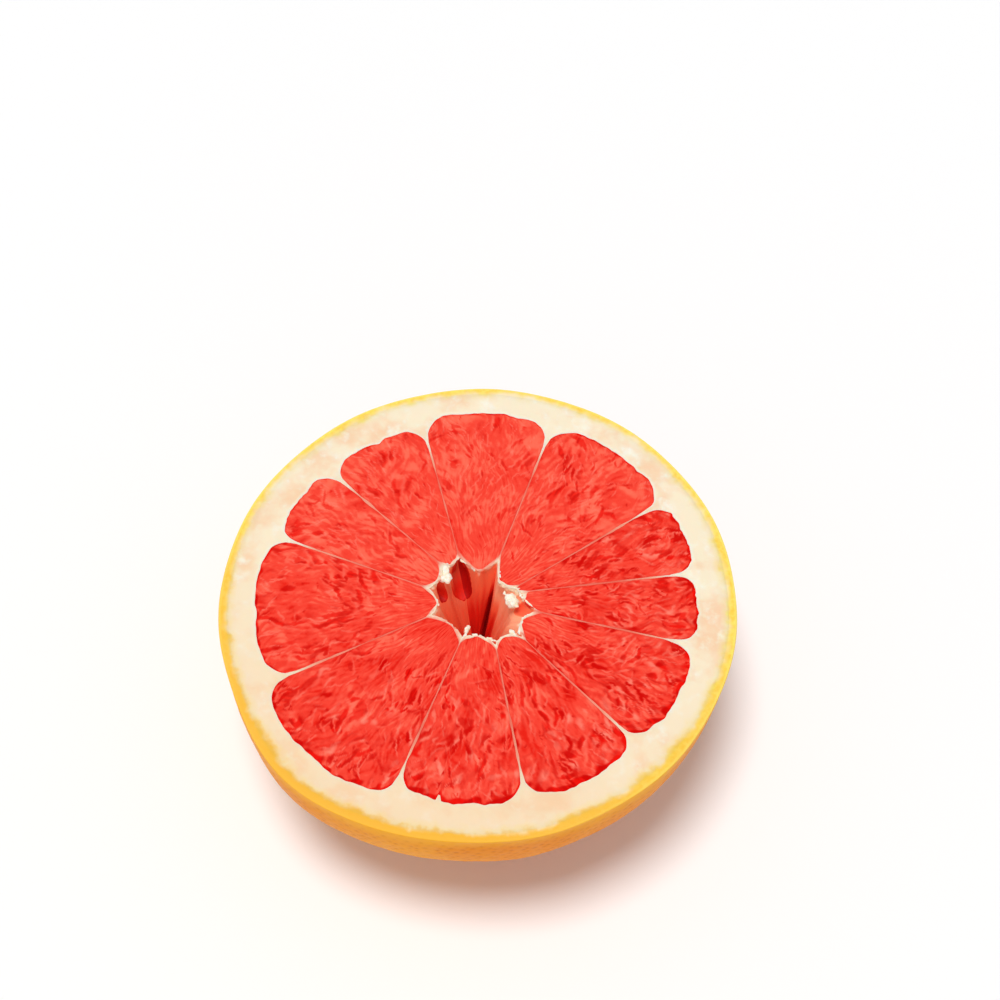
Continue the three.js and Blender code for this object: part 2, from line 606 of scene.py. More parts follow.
@dataclass(frozen=True)
class Flow:
    """The lie of the juice sacs: towards the core, with swirls that grow outwards."""

    swirl: WaveNoise = WaveNoise(500, 15.0, 0.25)
    curl: WaveNoise = WaveNoise(520, 8.0)
    curl_most: float = 0.28
    curl_span: Pair = (18.0, 44.0)
    fan: float = 0.35
    least_radius: float = 12.0

    def heading(self, index: int, x: Array, y: Array) -> Array:
        """The direction in which a sac lies.

        Args:
            index: the segment.
            x: places along X.
            y: places along Y.

        Returns:
            Angles in radians.
        """
        radius, angle = np.hypot(x, y), np.arctan2(y, x)
        start, end = PLAN.sides(index, np.maximum(radius, self.least_radius), 0.0)
        along = np.mod(angle - start, TAU) / (end - start)
        off = np.clip(np.where(along > 3, 0.0, along) - 0.5, -0.5, 0.5)
        swirl = self.swirl(x, y, shift=index)
        curl = self.curl(x, y, shift=index) * smoothstep(*self.curl_span, radius)
        return angle + swirl + self.curl_most * curl + self.fan * off


FLOW = Flow()


@dataclass(frozen=True)
class MarkKind:
    """One kind of long mark on a cut face, and how it is strewn.

    Attributes:
        lengths: least and most half length, as widths for half widths.
        turn: spread of the angle about the flow, in radians, as curl for the bend.
        spacing: how far apart they stay, as a share of their size.
        chance: how likely a place that is tried is to be taken; sway is how much drifts alter it.
        young: size near the core, as a share; they grow over young_span.
    """

    seed: int
    tries: int
    lengths: Pair
    widths: Pair
    turn: float
    curl: float
    spacing: float
    sway: float = 0.7
    chance: float = 0.75
    drift: float = 9.0
    young: float = 0.6
    young_span: Pair = (8.0, 32.0)
    overhang: float = 0.3


@dataclass(frozen=True)
class Marks:
    """Long rounded marks on a cut face: sacs, or the hollows between them."""

    x: Array
    y: Array
    heading: Array
    long_half: Array
    wide_half: Array
    bend: Array
    tone: Array

    @classmethod
    def scatter(cls, index: int, kind: MarkKind, shift: int, share: float = 1.0) -> "Marks":
        """Fills a segment with marks that keep apart.

        Args:
            index: the segment.
            kind: what they are like.
            shift: added to the kind's seed.
            share: how many of them stay.

        Returns:
            The marks.
        """
        tries = kind.tries
        rng = np.random.default_rng(kind.seed + shift)
        along, out = rng.uniform(0, 1, tries), np.sqrt(rng.uniform(0.01, 1, tries))
        outline = Wedge(index, 1, 1, -kind.overhang, 0.0)
        x, y, _ = outline.place(along, out, np.zeros(tries))
        drift = WaveNoise(kind.seed + 1, kind.drift)(x, y, shift=shift)
        welcome = rng.uniform(0, 1, tries) < share * (kind.chance + kind.sway * drift)
        heading = FLOW.heading(index, x, y) + rng.normal(0, kind.turn, tries)
        grown = smoothstep(*kind.young_span, np.hypot(x, y))
        growth = kind.young + (1 - kind.young) * grown
        long_half = growth * rng.uniform(*kind.lengths, tries)
        wide_half = growth * rng.uniform(*kind.widths, tries)
        kept: list[int] = []
        for new in np.flatnonzero(welcome):
            if kept:
                old = np.array(kept)
                dx, dy = x[old] - x[new], y[old] - y[new]
                cos, sin = math.cos(heading[new]), math.sin(heading[new])
                length = (long_half[old] + long_half[new]) * kind.spacing
                width = (wide_half[old] + wide_half[new]) * kind.spacing
                gap = ((dx * cos + dy * sin) / length) ** 2
                gap += ((dy * cos - dx * sin) / width) ** 2
                if gap.min() < 1:
                    continue
            kept.append(int(new))
        pick = np.array(kept)
        bend = rng.normal(0, kind.curl, tries)
        tone = rng.uniform(-1, 1, tries)
        return cls(*(each[pick] for each in (x, y, heading, long_half, wide_half, bend, tone)))

    def away(self, x: Array, y: Array) -> tuple[Array, Array]:
        """How far each place is from each mark, measured along the mark's own shape.

        Args:
            x: places along X.
            y: places along Y.

        Returns:
            Distances, 1 at the mark's edge, and how far across it, signed.
        """
        dx = x[:, None] - self.x
        dy = y[:, None] - self.y
        cos, sin = np.cos(self.heading), np.sin(self.heading)
        length = (dx * cos + dy * sin) / self.long_half
        width = (dy * cos - dx * sin) / self.wide_half
        width = width + self.bend * np.minimum(length * length, 4.0)
        return np.sqrt(length * length + width * width), width


@dataclass(frozen=True)
class CutDetail:
    """What lies at each place of a pulp's cut face.

    near is 1 at a sac's edge. sac, patch and streak lie about 0, the others from 0 to 1.
    """

    near: Array
    sac: Array
    patch: Array
    streak: Array
    crease: Array
    deep: Array
    lip: Array
    film_and_highlight: Array
    sheen: Array


@dataclass(frozen=True)
class ReliefHeights:
    """How far each detail raises or sinks the cut face of the pulp, in millimetres.

    calm is what stays of it all in a segment without hollows, as a share.
    """

    dome: float = 0.035
    dome_top: float = 1.3
    dome_level: float = 0.9
    sac: float = 0.015
    streak: float = 0.008
    film_and_highlight: float = 0.006
    lip: float = 0.006
    hollow: float = 0.065
    crease: float = 0.012
    calm: float = 0.45

    def of(self, detail: CutDetail, share: float) -> Array:
        """The relief.

        Args:
            detail: what lies at each place.
            share: how hollowed the segment is.

        Returns:
            Heights about 0.
        """
        dome = np.clip(self.dome_top - detail.near * detail.near, 0.0, self.dome_top)
        height = self.dome * (dome - self.dome_level) + self.sac * detail.sac
        height += self.streak * detail.streak
        small = self.film_and_highlight * detail.film_and_highlight + self.lip * detail.lip - self.hollow * detail.deep
        height += small - self.crease * detail.crease
        return height * (self.calm + (1 - self.calm) * share)


@dataclass(frozen=True)
class ReliefTones:
    """How far each detail lightens or darkens the flesh, as shares of the whole range."""

    level: float = 0.35
    hollowed: float = 0.42
    sac: float = 0.18
    patch: float = 0.18
    streak: float = 0.24
    # The two crease weights darken the flesh between the sacs with painted shade.
    crease: float = 0.15
    crease_hollowed: float = 0.3
    # This weight sets the painted shade in the hollows between the sacs.
    painted_shade: float = 0.75
    # The next three weights lighten the flesh as painted highlights.
    film_and_highlight: float = 0.5
    lip: float = 0.35
    sheen: float = 0.8

    def masks(self, detail: CutDetail, share: float) -> dict[str, Array]:
        """The layers that the pulp's material reads.

        Args:
            detail: what lies at each place.
            share: how hollowed the segment is.

        Returns:
            tone from -1 to 1, and the painted shade and films with highlights from 0 to 1.
        """
        seam = self.crease + self.crease_hollowed * share
        tone = self.sac * detail.sac + self.patch * detail.patch + self.streak * detail.streak
        tone += self.level - self.hollowed * share - seam * detail.crease
        pale = self.film_and_highlight * detail.film_and_highlight + self.lip * detail.lip + self.sheen * detail.sheen
        return {
            "tone": np.clip(tone, -1, 1),
            "painted_shade": detail.deep * (self.painted_shade + (1 - self.painted_shade) * share),
            "film_and_highlight": np.clip(pale, 0, 1),
        }


@dataclass(frozen=True)
class Border:
    """How the cut face of the pulp meets the tissue round it, in millimetres.

    bands holds the width of the band of painted shade along each segment's outer arc.
    """

    sink: float = 0.14
    sink_least: float = 0.4
    sink_width: float = 1.2
    rim_sink: float = 0.03
    rim_width: float = 0.4
    clearance: float = 0.03
    core_mean: float = 9.0
    bands: tuple[float, ...] = (0.9, 0.5, 0.4, 0.3, 0.4, 0.7, 1.4, 2.0, 2.0, 1.6, 1.1)
    band_level: float = 0.75
    band_waver: WaveNoise = WaveNoise(7, 2.2, 0.45)
    band_least: float = 0.25
    band_fade: Pair = (1.0, 0.45)
    line: float = 0.15
    line_width: float = 0.3

    def sunk(self, height: Array, side: Array, rim: Array) -> Array:
        """The cut face's own height.

        Args:
            height: its relief about 0.
            side: distance from the nearer wall.
            rim: distance from the segment's rim.

        Returns:
            Heights above the floor.
        """
        gain = (1 - self.sink_least) * smoothstep(0.0, self.sink_width, side)
        sink = self.sink * (self.sink_least + gain)
        height = height - sink - self.rim_sink * np.exp(-((rim / self.rim_width) ** 2))
        return np.minimum(PLAN.face + height, PLAN.face - self.clearance)

    def shade(self, index: int, x: Array, y: Array, arc: Array, rim: Array) -> Array:
        """How much painted shade darkens the border: a band on the outer arc, a line on the rim.

        Args:
            index: the segment.
            x: places along X.
            y: places along Y.
            arc: distance from the outer arc.
            rim: distance from the segment's rim.

        Returns:
            The shade, from 0 to 1.
        """
        band = self.bands[index] * (self.band_level + self.band_waver(x, y))
        shade = smoothstep(*self.band_fade, arc / np.maximum(band, self.band_least))
        return np.maximum(shade, self.line * np.exp(-((rim / self.line_width) ** 2)))


@dataclass
class PulpSegment:
    """One red segment: a full wedge whose cut face is a relief of juice sacs.

    hollow_share says how hollowed each segment is, from 0 to 1. The sacs' outlines waver by
    the warps, and those of hollows and films by the ragged noises too.
    """

    index: int
    step: float = 0.24
    overlap: float = 0.03
    sharp: float = 62.0
    seed_step: int = 20
    hollow_share: tuple[float, ...] = (0.95, 0.5, 0.28, 0.2, 0.26, 0.6, 0.95, 1.0, 1.0, 1.0, 1.0)
    heights: ReliefHeights = ReliefHeights()
    tones: ReliefTones = ReliefTones()
    border: Border = Border()
    sacs: MarkKind = MarkKind(300, 2200, (2.2, 4.6), (0.8, 1.35), 0.16, 0.35, 0.66, 0.45)
    hollows: tuple[MarkKind, ...] = (
        MarkKind(307, 120, (0.9, 2.4), (0.34, 0.74), 0.38, 0.25, 0.9),
        MarkKind(309, 190, (0.6, 1.8), (0.2, 0.38), 0.36, 0.3, 0.9),
        MarkKind(311, 90, (0.22, 0.45), (0.18, 0.28), 1.5, 0.1, 0.9),
        MarkKind(313, 34, (2.6, 4.6), (0.36, 0.72), 0.34, 0.35, 0.9),
    )
    hollow_side: Pair = (1.2, 0.75)
    hollow_depth: float = 0.8
    # The pale lip on one side of each hollow is a painted highlight.
    lip_at: float = 1.6
    lip_width: float = 0.4
    lip_across: Pair = (0.2, 1.0)
    lip_halves: Pair = (0.4, 1.0)
    crowding: WaveNoise = WaveNoise(318, 5.5)
    crowd_span: Pair = (-0.4, 0.15)
    crowd_least: float = 0.3
    # Films are pale sac skins with painted glints; sheens are painted highlights.
    films_and_highlights: MarkKind = MarkKind(314, 110, (0.8, 2.4), (0.12, 0.32), 0.3, 0.6, 1.0)
    film_and_highlight_edge: Pair = (1.3, 0.5)
    sheens: MarkKind = MarkKind(316, 36, (0.8, 2.0), (0.35, 0.8), 0.3, 0.5, 1.2)
    sheen_edge: Pair = (1.4, 0.2)
    sheen_shares: Pair = (0.7, 1.0)
    sheen_radii: Pair = (20.0, 38.0)
    warps: tuple[WaveNoise, WaveNoise] = (WaveNoise(303, 5.0, 0.25), WaveNoise(304, 5.0, 0.25))
    ragged: tuple[WaveNoise, WaveNoise] = (WaveNoise(312, 1.0, 0.08), WaveNoise(313, 1.0, 0.08))
    patches: WaveNoise = WaveNoise(305, 8.0)
    breaks: WaveNoise = WaveNoise(306, 2.6)
    break_span: Pair = (-0.2, 0.8)
    seam_width: float = 0.2
    swing: WaveNoise = WaveNoise(309, 9.0, 0.03)
    streaks: WaveNoise = WaveNoise(310, 1.0)
    streak_size: Pair = (3.2, 0.75)
    streak_radius: float = 30.0

    @property
    def name(self) -> str:
        """The node that this segment stands for."""
        return f"segment_{self.index + 1:02d}"

    @property
    def shift(self) -> int:
        """What this segment adds to the seeds."""
        return self.seed_step * self.index

    @property
    def share(self) -> float:
        """How hollowed this segment is."""
        return self.hollow_share[self.index]

    def steps(self) -> tuple[int, int]:
        """How many facets the cut face needs.

        Returns:
            Facets across and out.
        """
        widest, mean_width = 46.0, 0.86
        start, end = PLAN.sides(self.index, np.float64(widest), 0.0)
        shape = PLAN.segments[self.index]
        across = mean_width * widest * float(end - start) / self.step
        return int(across), int((shape.reach - shape.waist) / self.step)

    def cells(self, x: Array, y: Array) -> tuple[Array, Array, Array]:
        """The sacs that make the cut face.

        Args:
            x: places along X.
            y: places along Y.

        Returns:
            Distance from the nearest sac's middle, distance from its seam, and its tone.
        """
        sacs = Marks.scatter(self.index, self.sacs, self.shift)
        away, _ = sacs.away(x, y)
        order = np.argpartition(away, 1, axis=1)[:, :2]
        pair = np.take_along_axis(away, order, axis=1)
        swap = pair[:, 0] > pair[:, 1]
        order[swap], pair[swap] = order[swap][:, ::-1], pair[swap][:, ::-1]
        return pair[:, 0], pair[:, 1] - pair[:, 0], sacs.tone[order[:, 0]]

    def nicks(self, x: Array, y: Array) -> tuple[Array, Array]:
        """Hollows between the sacs.

        Args:
            x: places along X.
            y: places along Y.

        Returns:
            How deep in a hollow each place lies, and how near a hollow's pale lip.
        """
        deep, lip = np.zeros(len(x)), np.zeros(len(x))
        rows = np.arange(len(x))
        wanted = smoothstep(*self.crowd_span, self.crowding(x, y, shift=self.shift))
        crowd = self.crowd_least + (1 - self.crowd_least) * wanted
        for kind in self.hollows:
            marks = Marks.scatter(self.index, kind, self.shift, self.share)
            reach, across = marks.away(x, y)
            nearest = np.argmin(reach, axis=1)
            reach, across = reach[rows, nearest], across[rows, nearest]
            spread = (1 - self.hollow_depth) * marks.tone[nearest]
            weight = (self.hollow_depth + spread) * crowd
            deep = np.maximum(deep, weight * smoothstep(*self.hollow_side, reach))
            beside = np.exp(-(((reach - self.lip_at) / self.lip_width) ** 2))
            beside *= smoothstep(*self.lip_across, across)
            beside *= smoothstep(*self.lip_halves, marks.long_half[nearest])
            lip = np.maximum(lip, weight * beside)
        return deep, lip * (1 - deep)

    def streak(self, x: Array, y: Array) -> Array:
        """Fine streaks that run outwards.

        Args:
            x: places along X.
            y: places along Y.

        Returns:
            Values about 0.
        """
        length, width = self.streak_size
        swing = np.arctan2(y, x) + self.swing(x, y, shift=self.shift)
        across = swing * self.streak_radius / width
        return self.streaks(np.hypot(x, y) / length, across, shift=self.shift)

    def detail(self, x: Array, y: Array) -> CutDetail:
        """Everything that the cut face shows.

        Args:
            x: places along X.
            y: places along Y.

        Returns:
            What lies at each place.
        """
        warp_x, warp_y = (at + noise(x, y, shift=self.shift) for at, noise in zip((x, y), self.warps))
        rough_x, rough_y = (noise(x, y, shift=self.shift) for noise in self.ragged)
        rag_x, rag_y = warp_x + rough_x, warp_y + rough_y
        near, seam, sac = self.cells(warp_x, warp_y)
        broken = smoothstep(*self.break_span, self.breaks(x, y, shift=self.shift))
        deep, lip = self.nicks(rag_x, rag_y)
        thin, wide = self.films_and_highlights.widths
        kind = replace(self.films_and_highlights, widths=(thin, thin + (wide - thin) * self.share))
        films_and_highlights = Marks.scatter(self.index, kind, self.shift)
        sheens = Marks.scatter(self.index, self.sheens, self.shift)
        film_and_highlight = smoothstep(*self.film_and_highlight_edge, films_and_highlights.away(rag_x, rag_y)[0].min(axis=1))
        sheen = smoothstep(*self.sheen_edge, sheens.away(rag_x, rag_y)[0].min(axis=1))
        sheen = sheen * smoothstep(*self.sheen_shares, self.share)
        return CutDetail(
            near=near,
            sac=sac,
            patch=self.patches(x, y, shift=self.shift),
            streak=self.streak(x, y),
            crease=broken * np.exp(-((seam / self.seam_width) ** 2)),
            deep=deep,
            lip=lip,
            film_and_highlight=film_and_highlight * (1 - deep),
            sheen=sheen * (smoothstep(*self.sheen_radii, np.hypot(x, y)) * (1 - deep)),
        )

    def build(self, finish: Material) -> Object:
        """Models the segment.

        Args:
            finish: the pulp's material.

        Returns:
            The piece, which replaces its node.
        """
        across, out = self.steps()
        mesh = Wedge(self.index, across, out, -self.overlap, 0.0).shell()
        places = coordinates(mesh) / MM
        on_top = read_layer(mesh, "level") < 0.5
        along, outward = read_layer(mesh, "along")[on_top], read_layer(mesh, "out")[on_top]
        x, y = places[on_top, 0], places[on_top, 1]
        detail = self.detail(x, y)
        radius = np.hypot(x, y)
        start, end = PLAN.sides(self.index, radius, 0.0)
        length = PLAN.segments[self.index].reach - self.border.core_mean
        side = np.minimum(along, 1 - along) * (end - start) * radius
        arc = (1 - outward) * length
        rim = np.minimum(np.minimum(side, arc), outward * length)
        relief = self.heights.of(detail, self.share)
        places[on_top, 2] = self.border.sunk(relief, side, rim)
        set_coordinates(mesh, places * MM)
        masks = self.tones.masks(detail, self.share)
        # The border's painted shade joins the hollows' painted shade in one layer.
        shade = self.border.shade(self.index, x, y, arc, rim)
        masks["painted_shade"] = np.clip(np.maximum(masks["painted_shade"], shade), 0, 1)
        for name, values in masks.items():
            layer = np.zeros(len(places))
            layer[on_top] = values
            write_layer(mesh, name, layer)
        for name in ("along", "out", "level"):
            mesh.attributes.remove(mesh.attributes[name])
        mark_sharp(mesh, self.sharp)
        piece = to_piece(mesh, f"{self.name}_pulp", finish)
        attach(piece, BODY)
        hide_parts(self.name)
        return piece


# -------- pith and core


@dataclass(frozen=True)
class Recess:
    """An oval hollow or a cleft in the core's side, at an angle in degrees.

    With a reach of 0 it only reddens the side, with no hollow. Its red sets in over the fade.
    """

    at: float
    reach: float
    half_width: float
    top: float
    bottom: float
    red: float
    fade: float = 0.0
    soft: float = 0.08
    rounded: bool = False
    halo: float = 0.15
    floor: float = 0.22

    def scoop(self, angle: Array, radius: Array, depth: Array, margin: float = 0.0) -> Array:
        """How far into the hollow each place lies, 1 at its middle and 0 at its edge.

        Args:
            angle: radians.
            radius: of the core's side there.
            depth: below the cut face.
            margin: how much wider and deeper than it is the hollow is taken to be.

        Returns:
            The share of the hollow's reach at each place.
        """
        off = np.mod(angle - math.radians(self.at) + math.pi, TAU) - math.pi
        across = off * radius / (self.half_width + margin)
        half = (self.bottom + 2 * margin - self.top) / 2
        along = (depth - self.top - half) / half
        return np.sqrt(np.clip(1 - across**2 - along**4, 0, 1))

    def shade_and_stain(self, angle: Array, radius: Array, depth: Array) -> Array:
        """How much redder each place is for lying in the hollow, as painted shade.

        Args:
            angle: radians.
            radius: of the core's side there.
            depth: below the cut face.

        Returns:
            The redness, greatest near the hollow's bottom.
        """
        inside = smoothstep(0.0, self.soft, self.scoop(angle, radius, depth, self.halo))
        low = smoothstep(self.top, self.top + self.fade, depth) if self.fade else 1.0
        floor = self.floor * smoothstep(self.top, self.bottom, depth) if self.reach else 0.0
        return inside * (self.red * low + floor)


@dataclass(frozen=True)
class Filling:
    """A stretch of the core's side whose folds are filled out below the mouth.

    span holds the degrees to either side at which it is full and at which it ends.
    """

    at: float
    span: Pair
    radius: float
    depths: Pair
    most: float = 0.85

    def share(self, angle: Array, depth: Array) -> Array:
        """How far each place is drawn to the filling's own radius.

        Args:
            angle: radians.
            depth: below the cut face.

        Returns:
            The share, 0 outside the stretch.
        """
        near, far = self.span
        off = np.abs(np.mod(np.degrees(angle) - self.at + 180, 360) - 180)
        return self.most * smoothstep(far, near, off) * smoothstep(*self.depths, depth)


@dataclass(frozen=True)
class Fold:
    """Unevenness of the core's side, drawn out down the core by its stretch."""

    noise: WaveNoise
    stretch: float
    turn_size: float = 2.0

    def at(self, angle: Array, depth: Array | float) -> Array:
        """The unevenness at some angles and depths below the cut face."""
        x, y = np.cos(angle) * self.turn_size, np.sin(angle) * self.turn_size
        return self.noise(x, y, depth / self.stretch)


@dataclass
class Pith:
    """The pale bowl with the walls between segments and the lining of the open core.

    panels holds the redness of the core's side beside each segment, and lips how creamy its
    mouth is there.
    """

    turn_steps: int = 720
    inner_rings: Triple = (6.0, 39.0, 1.1)
    rind_rings: Pair = (39.4, 0.4)
    side_rings: int = 13
    pocket_steps: tuple[int, int] = (72, 44)
    core_turns: int = 528
    core_mouth: tuple[float, int] = (13.0, 52)
    core_steps: int = 22
    core_floor: float = 0.6
    core_least: float = 0.07
    core_mean: float = 9.0
    side_reach: float = 0.25
    sharp: float = 50.0
    panels: tuple[float, ...] = (0.1, 0.12, 0.55, 0.22, 0.3, 0.3, 0.2, 0.2, 0.2, 0.1, 0.12)
    # panel_low reddens the side deeper in the core, as painted shade.
    panel_low: Triple = (0.35, 4.0, 22.0)
    lips: tuple[float, ...] = (0.9, 0.9, 0.25, 0.75, 0.85, 0.8, 0.5, 0.9, 0.9, 0.95, 1.0)
    lip_corner: float = 0.95
    folds: tuple[Fold, ...] = (
        Fold(WaveNoise(21, 0.7, 0.16), 40.0),
        Fold(WaveNoise(22, 0.3, 0.05), 60.0),
    )
    fold_depths: Pair = (0.3, 3.0)
    fold_end: Pair = (30.0, 12.0)
    torn: Fold = Fold(WaveNoise(24, 0.18, 0.09), 4.0)
    torn_end: Pair = (3.0, 0.5)
    streaks: Fold = Fold(WaveNoise(23, 0.3, 0.03), 30.0)
    frayed: Fold = Fold(WaveNoise(25, 0.25, 0.5), 1.0)
    septum_sink: Triple = (0.03, 42.0, 30.0)
    fillings: tuple[Filling, ...] = (
        Filling(8.0, (32.0, 52.0), 7.6, (1.0, 6.5)),
        Filling(112.0, (5.0, 17.0), 9.3, (4.0, 9.0)),
    )
    recesses: tuple[Recess, ...] = (
        Recess(357, 1.0, 1.2, -3.0, 4.2, 0.3, soft=0.6),
        Recess(56, 0.0, 1.8, 4.0, 34.0, 0.4, 9.0, 0.9),
        Recess(69, 0.7, 0.32, 2.0, 30.0, 0.28, 13.0),
        Recess(117, 2.2, 1.7, 0.2, 11.0, 0.3, rounded=True),
        Recess(152, 2.0, 1.0, 0.8, 7.5, 0.36),
        *(Recess(at, 0.5, 0.4, -2.0, 20.0, 0.15, 8.0, 0.7) for at in (201, 250, 290)),
        Recess(318, 0.7, 0.45, -2.0, 20.0, 0.15, 8.0, 0.7),
    )

    def bowl(self) -> Mesh:
        """Models the closed bowl before it is cut.

        Returns:
            Its mesh, with close rings where the rind is seen.
        """
        inset = PLAN.peel + PLAN.skin_margin
        outer = PLAN.equator - inset
        start, step = self.rind_rings
        rings = np.concatenate(
            [[0.0, 4.0], np.arange(*self.inner_rings), np.arange(start, outer - 0.2, step), [outer]]
        )
        profile = [(ring, PLAN.face) for ring in rings]
        for turn in np.linspace(0, math.pi / 2, self.side_rings + 1)[1:]:
            across, height = PLAN.profile(np.float64(turn), inset)
            profile.append((float(across), float(height)))
        work = bmesh.new()
        verts = [work.verts.new((x * MM, 0, z * MM)) for x, z in profile]
        edges = [work.edges.new(pair) for pair in zip(verts, verts[1:])]
        bmesh.ops.spin(
            work, geom=verts + edges, cent=(0, 0, 0), axis=(0, 0, 1), angle=TAU,
            steps=self.turn_steps, use_merge=True,
        )
        bmesh.ops.remove_doubles(work, verts=work.verts[:], dist=1e-6)
        bmesh.ops.recalc_face_normals(work, faces=work.faces[:])
        mesh = to_mesh(work, "bowl")
        places = coordinates(mesh)
        swell = PLAN.skin_radius(np.arctan2(places[:, 1], places[:, 0]), PLAN.peel) / outer
        places[:, :2] *= swell[:, None]
        set_coordinates(mesh, places)
        return mesh

    def core_folds(self, angle: Array, depth: Array) -> Array:
        """Radius of the core's side before its hollows.

        Args:
            angle: radians.
            depth: below the cut face.

        Returns:
            The radius, with the folds of each segment's inner end.
        """
        index, along = PLAN.core_segment(angle)
        radius = np.zeros(np.broadcast(angle, depth).shape)
        for number in range(len(PLAN.septa)):
            radius = np.where(index == number, PLAN.core_radius(number, along), radius)
        for filling in self.fillings:
            radius = radius + (filling.radius - radius) * filling.share(angle, depth)
        radius = radius * np.maximum(PLAN.core_scale(depth), self.core_least)
        folds = sum(fold.at(angle, depth) for fold in self.folds)
        folded = smoothstep(*self.fold_depths, depth)
        radius += folds * folded * smoothstep(*self.fold_end, depth)
        return radius + self.torn.at(angle, depth) * smoothstep(*self.torn_end, depth)

    def core_wall(self, angle: Array, depth: Array) -> Array:
        """Radius of the core's side.

        Args:
            angle: radians.
            depth: below the cut face.

        Returns:
            The radius, with its folds, hollows and clefts.
        """
        radius = self.core_folds(angle, depth)
        side = np.maximum(radius, 3.0)
        for recess in self.recesses:
            scoop = recess.scoop(angle, side, depth)
            if recess.rounded:
                middle = self.core_folds(np.full(radius.shape, math.radians(recess.at)), depth)
                radius = radius + (middle - radius) * smoothstep(0.0, 0.7, scoop)
            radius = radius + recess.reach * scoop
        return radius

    def core_cutter(self) -> Mesh:
        """Models the open core.

        Returns:
            Its closed mesh, which stands above the cut face.
        """
        work = bmesh.new()
        turn = work.verts.layers.float.new("turn")
        depth = work.verts.layers.float.new("depth")
        bmesh.ops.create_circle(work, cap_ends=False, radius=1.0, segments=self.core_turns)
        for vertex in work.verts:
            vertex[turn] = math.atan2(vertex.co.y, vertex.co.x)
            vertex[depth] = -1.0
        bottom = PLAN.core_depth - self.core_floor
        mouth, close_steps = self.core_mouth
        close = np.linspace(0.0, mouth, close_steps + 1)
        wide = np.linspace(mouth, bottom, self.core_steps + 1)[1:]
        for level in np.concatenate([close, wide]).tolist():
            for vertex in extruded(work, self.low_ring(work, depth)):
                vertex[depth] = level
        bmesh.ops.holes_fill(work, edges=boundary(work), sides=0)
        mesh = to_mesh(work, "core")
        angles, levels = read_layer(mesh, "turn"), read_layer(mesh, "depth")
        radius = self.core_wall(angles, np.maximum(levels, 0))
        places = np.stack(
            [radius * np.cos(angles), radius * np.sin(angles), PLAN.face - levels], axis=1
        )
        set_coordinates(mesh, places * MM)
        face_outwards(mesh)
        return mesh

    @staticmethod
    def low_ring(work: BMesh, depth: BMLayerItem) -> list[BMEdge]:
        """The deepest open ring of the core.

        Args:
            work: the core so far.
            depth: its depth layer.

        Returns:
            The ring's edges.
        """
        if not work.faces:
            return work.edges[:]
        open_edges = boundary(work)
        lowest = max(edge.verts[0][depth] for edge in open_edges)
        return [edge for edge in open_edges if all(v[depth] == lowest for v in edge.verts)]

    def cut(self) -> Mesh:
        """Cuts the pockets and the core out of the bowl.

        Returns:
            The mesh that is left.
        """
        work = bmesh.new()
        wedges = (Wedge(index, *self.pocket_steps, 0.0, 1.0) for index in range(len(PLAN.septa)))
        for shape in [*(wedge.shell() for wedge in wedges), self.core_cutter()]:
            work.from_mesh(shape)
            bpy.data.meshes.remove(shape)
        cutter = bpy.data.objects.new("cutter", to_mesh(work, "cutter"))
        body = bpy.data.objects.new("bowl", self.bowl())
        for part in (cutter, body):
            bpy.context.scene.collection.objects.link(part)
        knife = body.modifiers.new("pockets", "BOOLEAN")
        knife.operation = "DIFFERENCE"
        knife.solver = "MANIFOLD"
        knife.object = cutter
        graph = bpy.context.evaluated_depsgraph_get()
        mesh = bpy.data.meshes.new_from_object(body.evaluated_get(graph))
        for part in (cutter, body):
            spare = part.data
            bpy.data.objects.remove(part)
            bpy.data.meshes.remove(spare)
        return mesh

    def redness(self, angle: Array, depth: Array) -> Array:
        """How red the core's side is; its growth with depth and in hollows is painted shade.

        Args:
            angle: radians.
            depth: below the cut face.

        Returns:
            The redness, from 0, salmon, to 1, dark red.
        """
        index, _ = PLAN.core_segment(angle)
        gain, start, end = self.panel_low
        red = np.take(self.panels, index) + gain * smoothstep(start, end, depth)
        side = np.maximum(self.core_mean * PLAN.core_scale(depth), 3)
        for recess in self.recesses:
            red = red + recess.shade_and_stain(angle, side, depth)
        return np.clip(red + self.streaks.at(angle, depth), 0, 1)

    def lip(self, angle: Array, depth: Array, rise: Array) -> Array:
        """How creamy the mouth of the core is.

        Args:
            angle: radians.
            depth: below the cut face.
            rise: distance outwards from the core's mouth.

        Returns:
            The share of cream at each place.
        """
        index, along = PLAN.core_segment(angle)
        pale = np.take(self.lips, index)
        pale = pale + (self.lip_corner - pale) * np.abs(2 * along - 1) ** 6
        frayed = depth + self.frayed.at(angle, 0.0)
        return pale * smoothstep(1.5, 0.35, rise) * smoothstep(1.5, 0.4, frayed)

    def pulp_gap(self, radius: Array, angle: Array) -> Array:
        """How far each place is from the outer arc of the pulp.

        Args:
            radius: of each place.
            angle: of each place, in radians.

        Returns:
            The distances.
        """
        far, beside = 9.0, 0.08
        gap = np.full(radius.shape, far)
        for index in range(len(PLAN.septa)):
            start, end = PLAN.sides(index, np.maximum(radius, 20.0), 0.0)
            turn = np.mod(angle - start, TAU)
            turn = np.where(turn > TAU - 0.05, turn - TAU, turn)
            along = turn / (end - start)
            inside = (along > -beside) & (along < 1 + beside)
            arc = PLAN.arc_radius(index, np.clip(along, 0.0, 1.0), np.float64(1.0))
            gap = np.where(inside, np.minimum(gap, np.abs(radius - arc)), gap)
        return gap

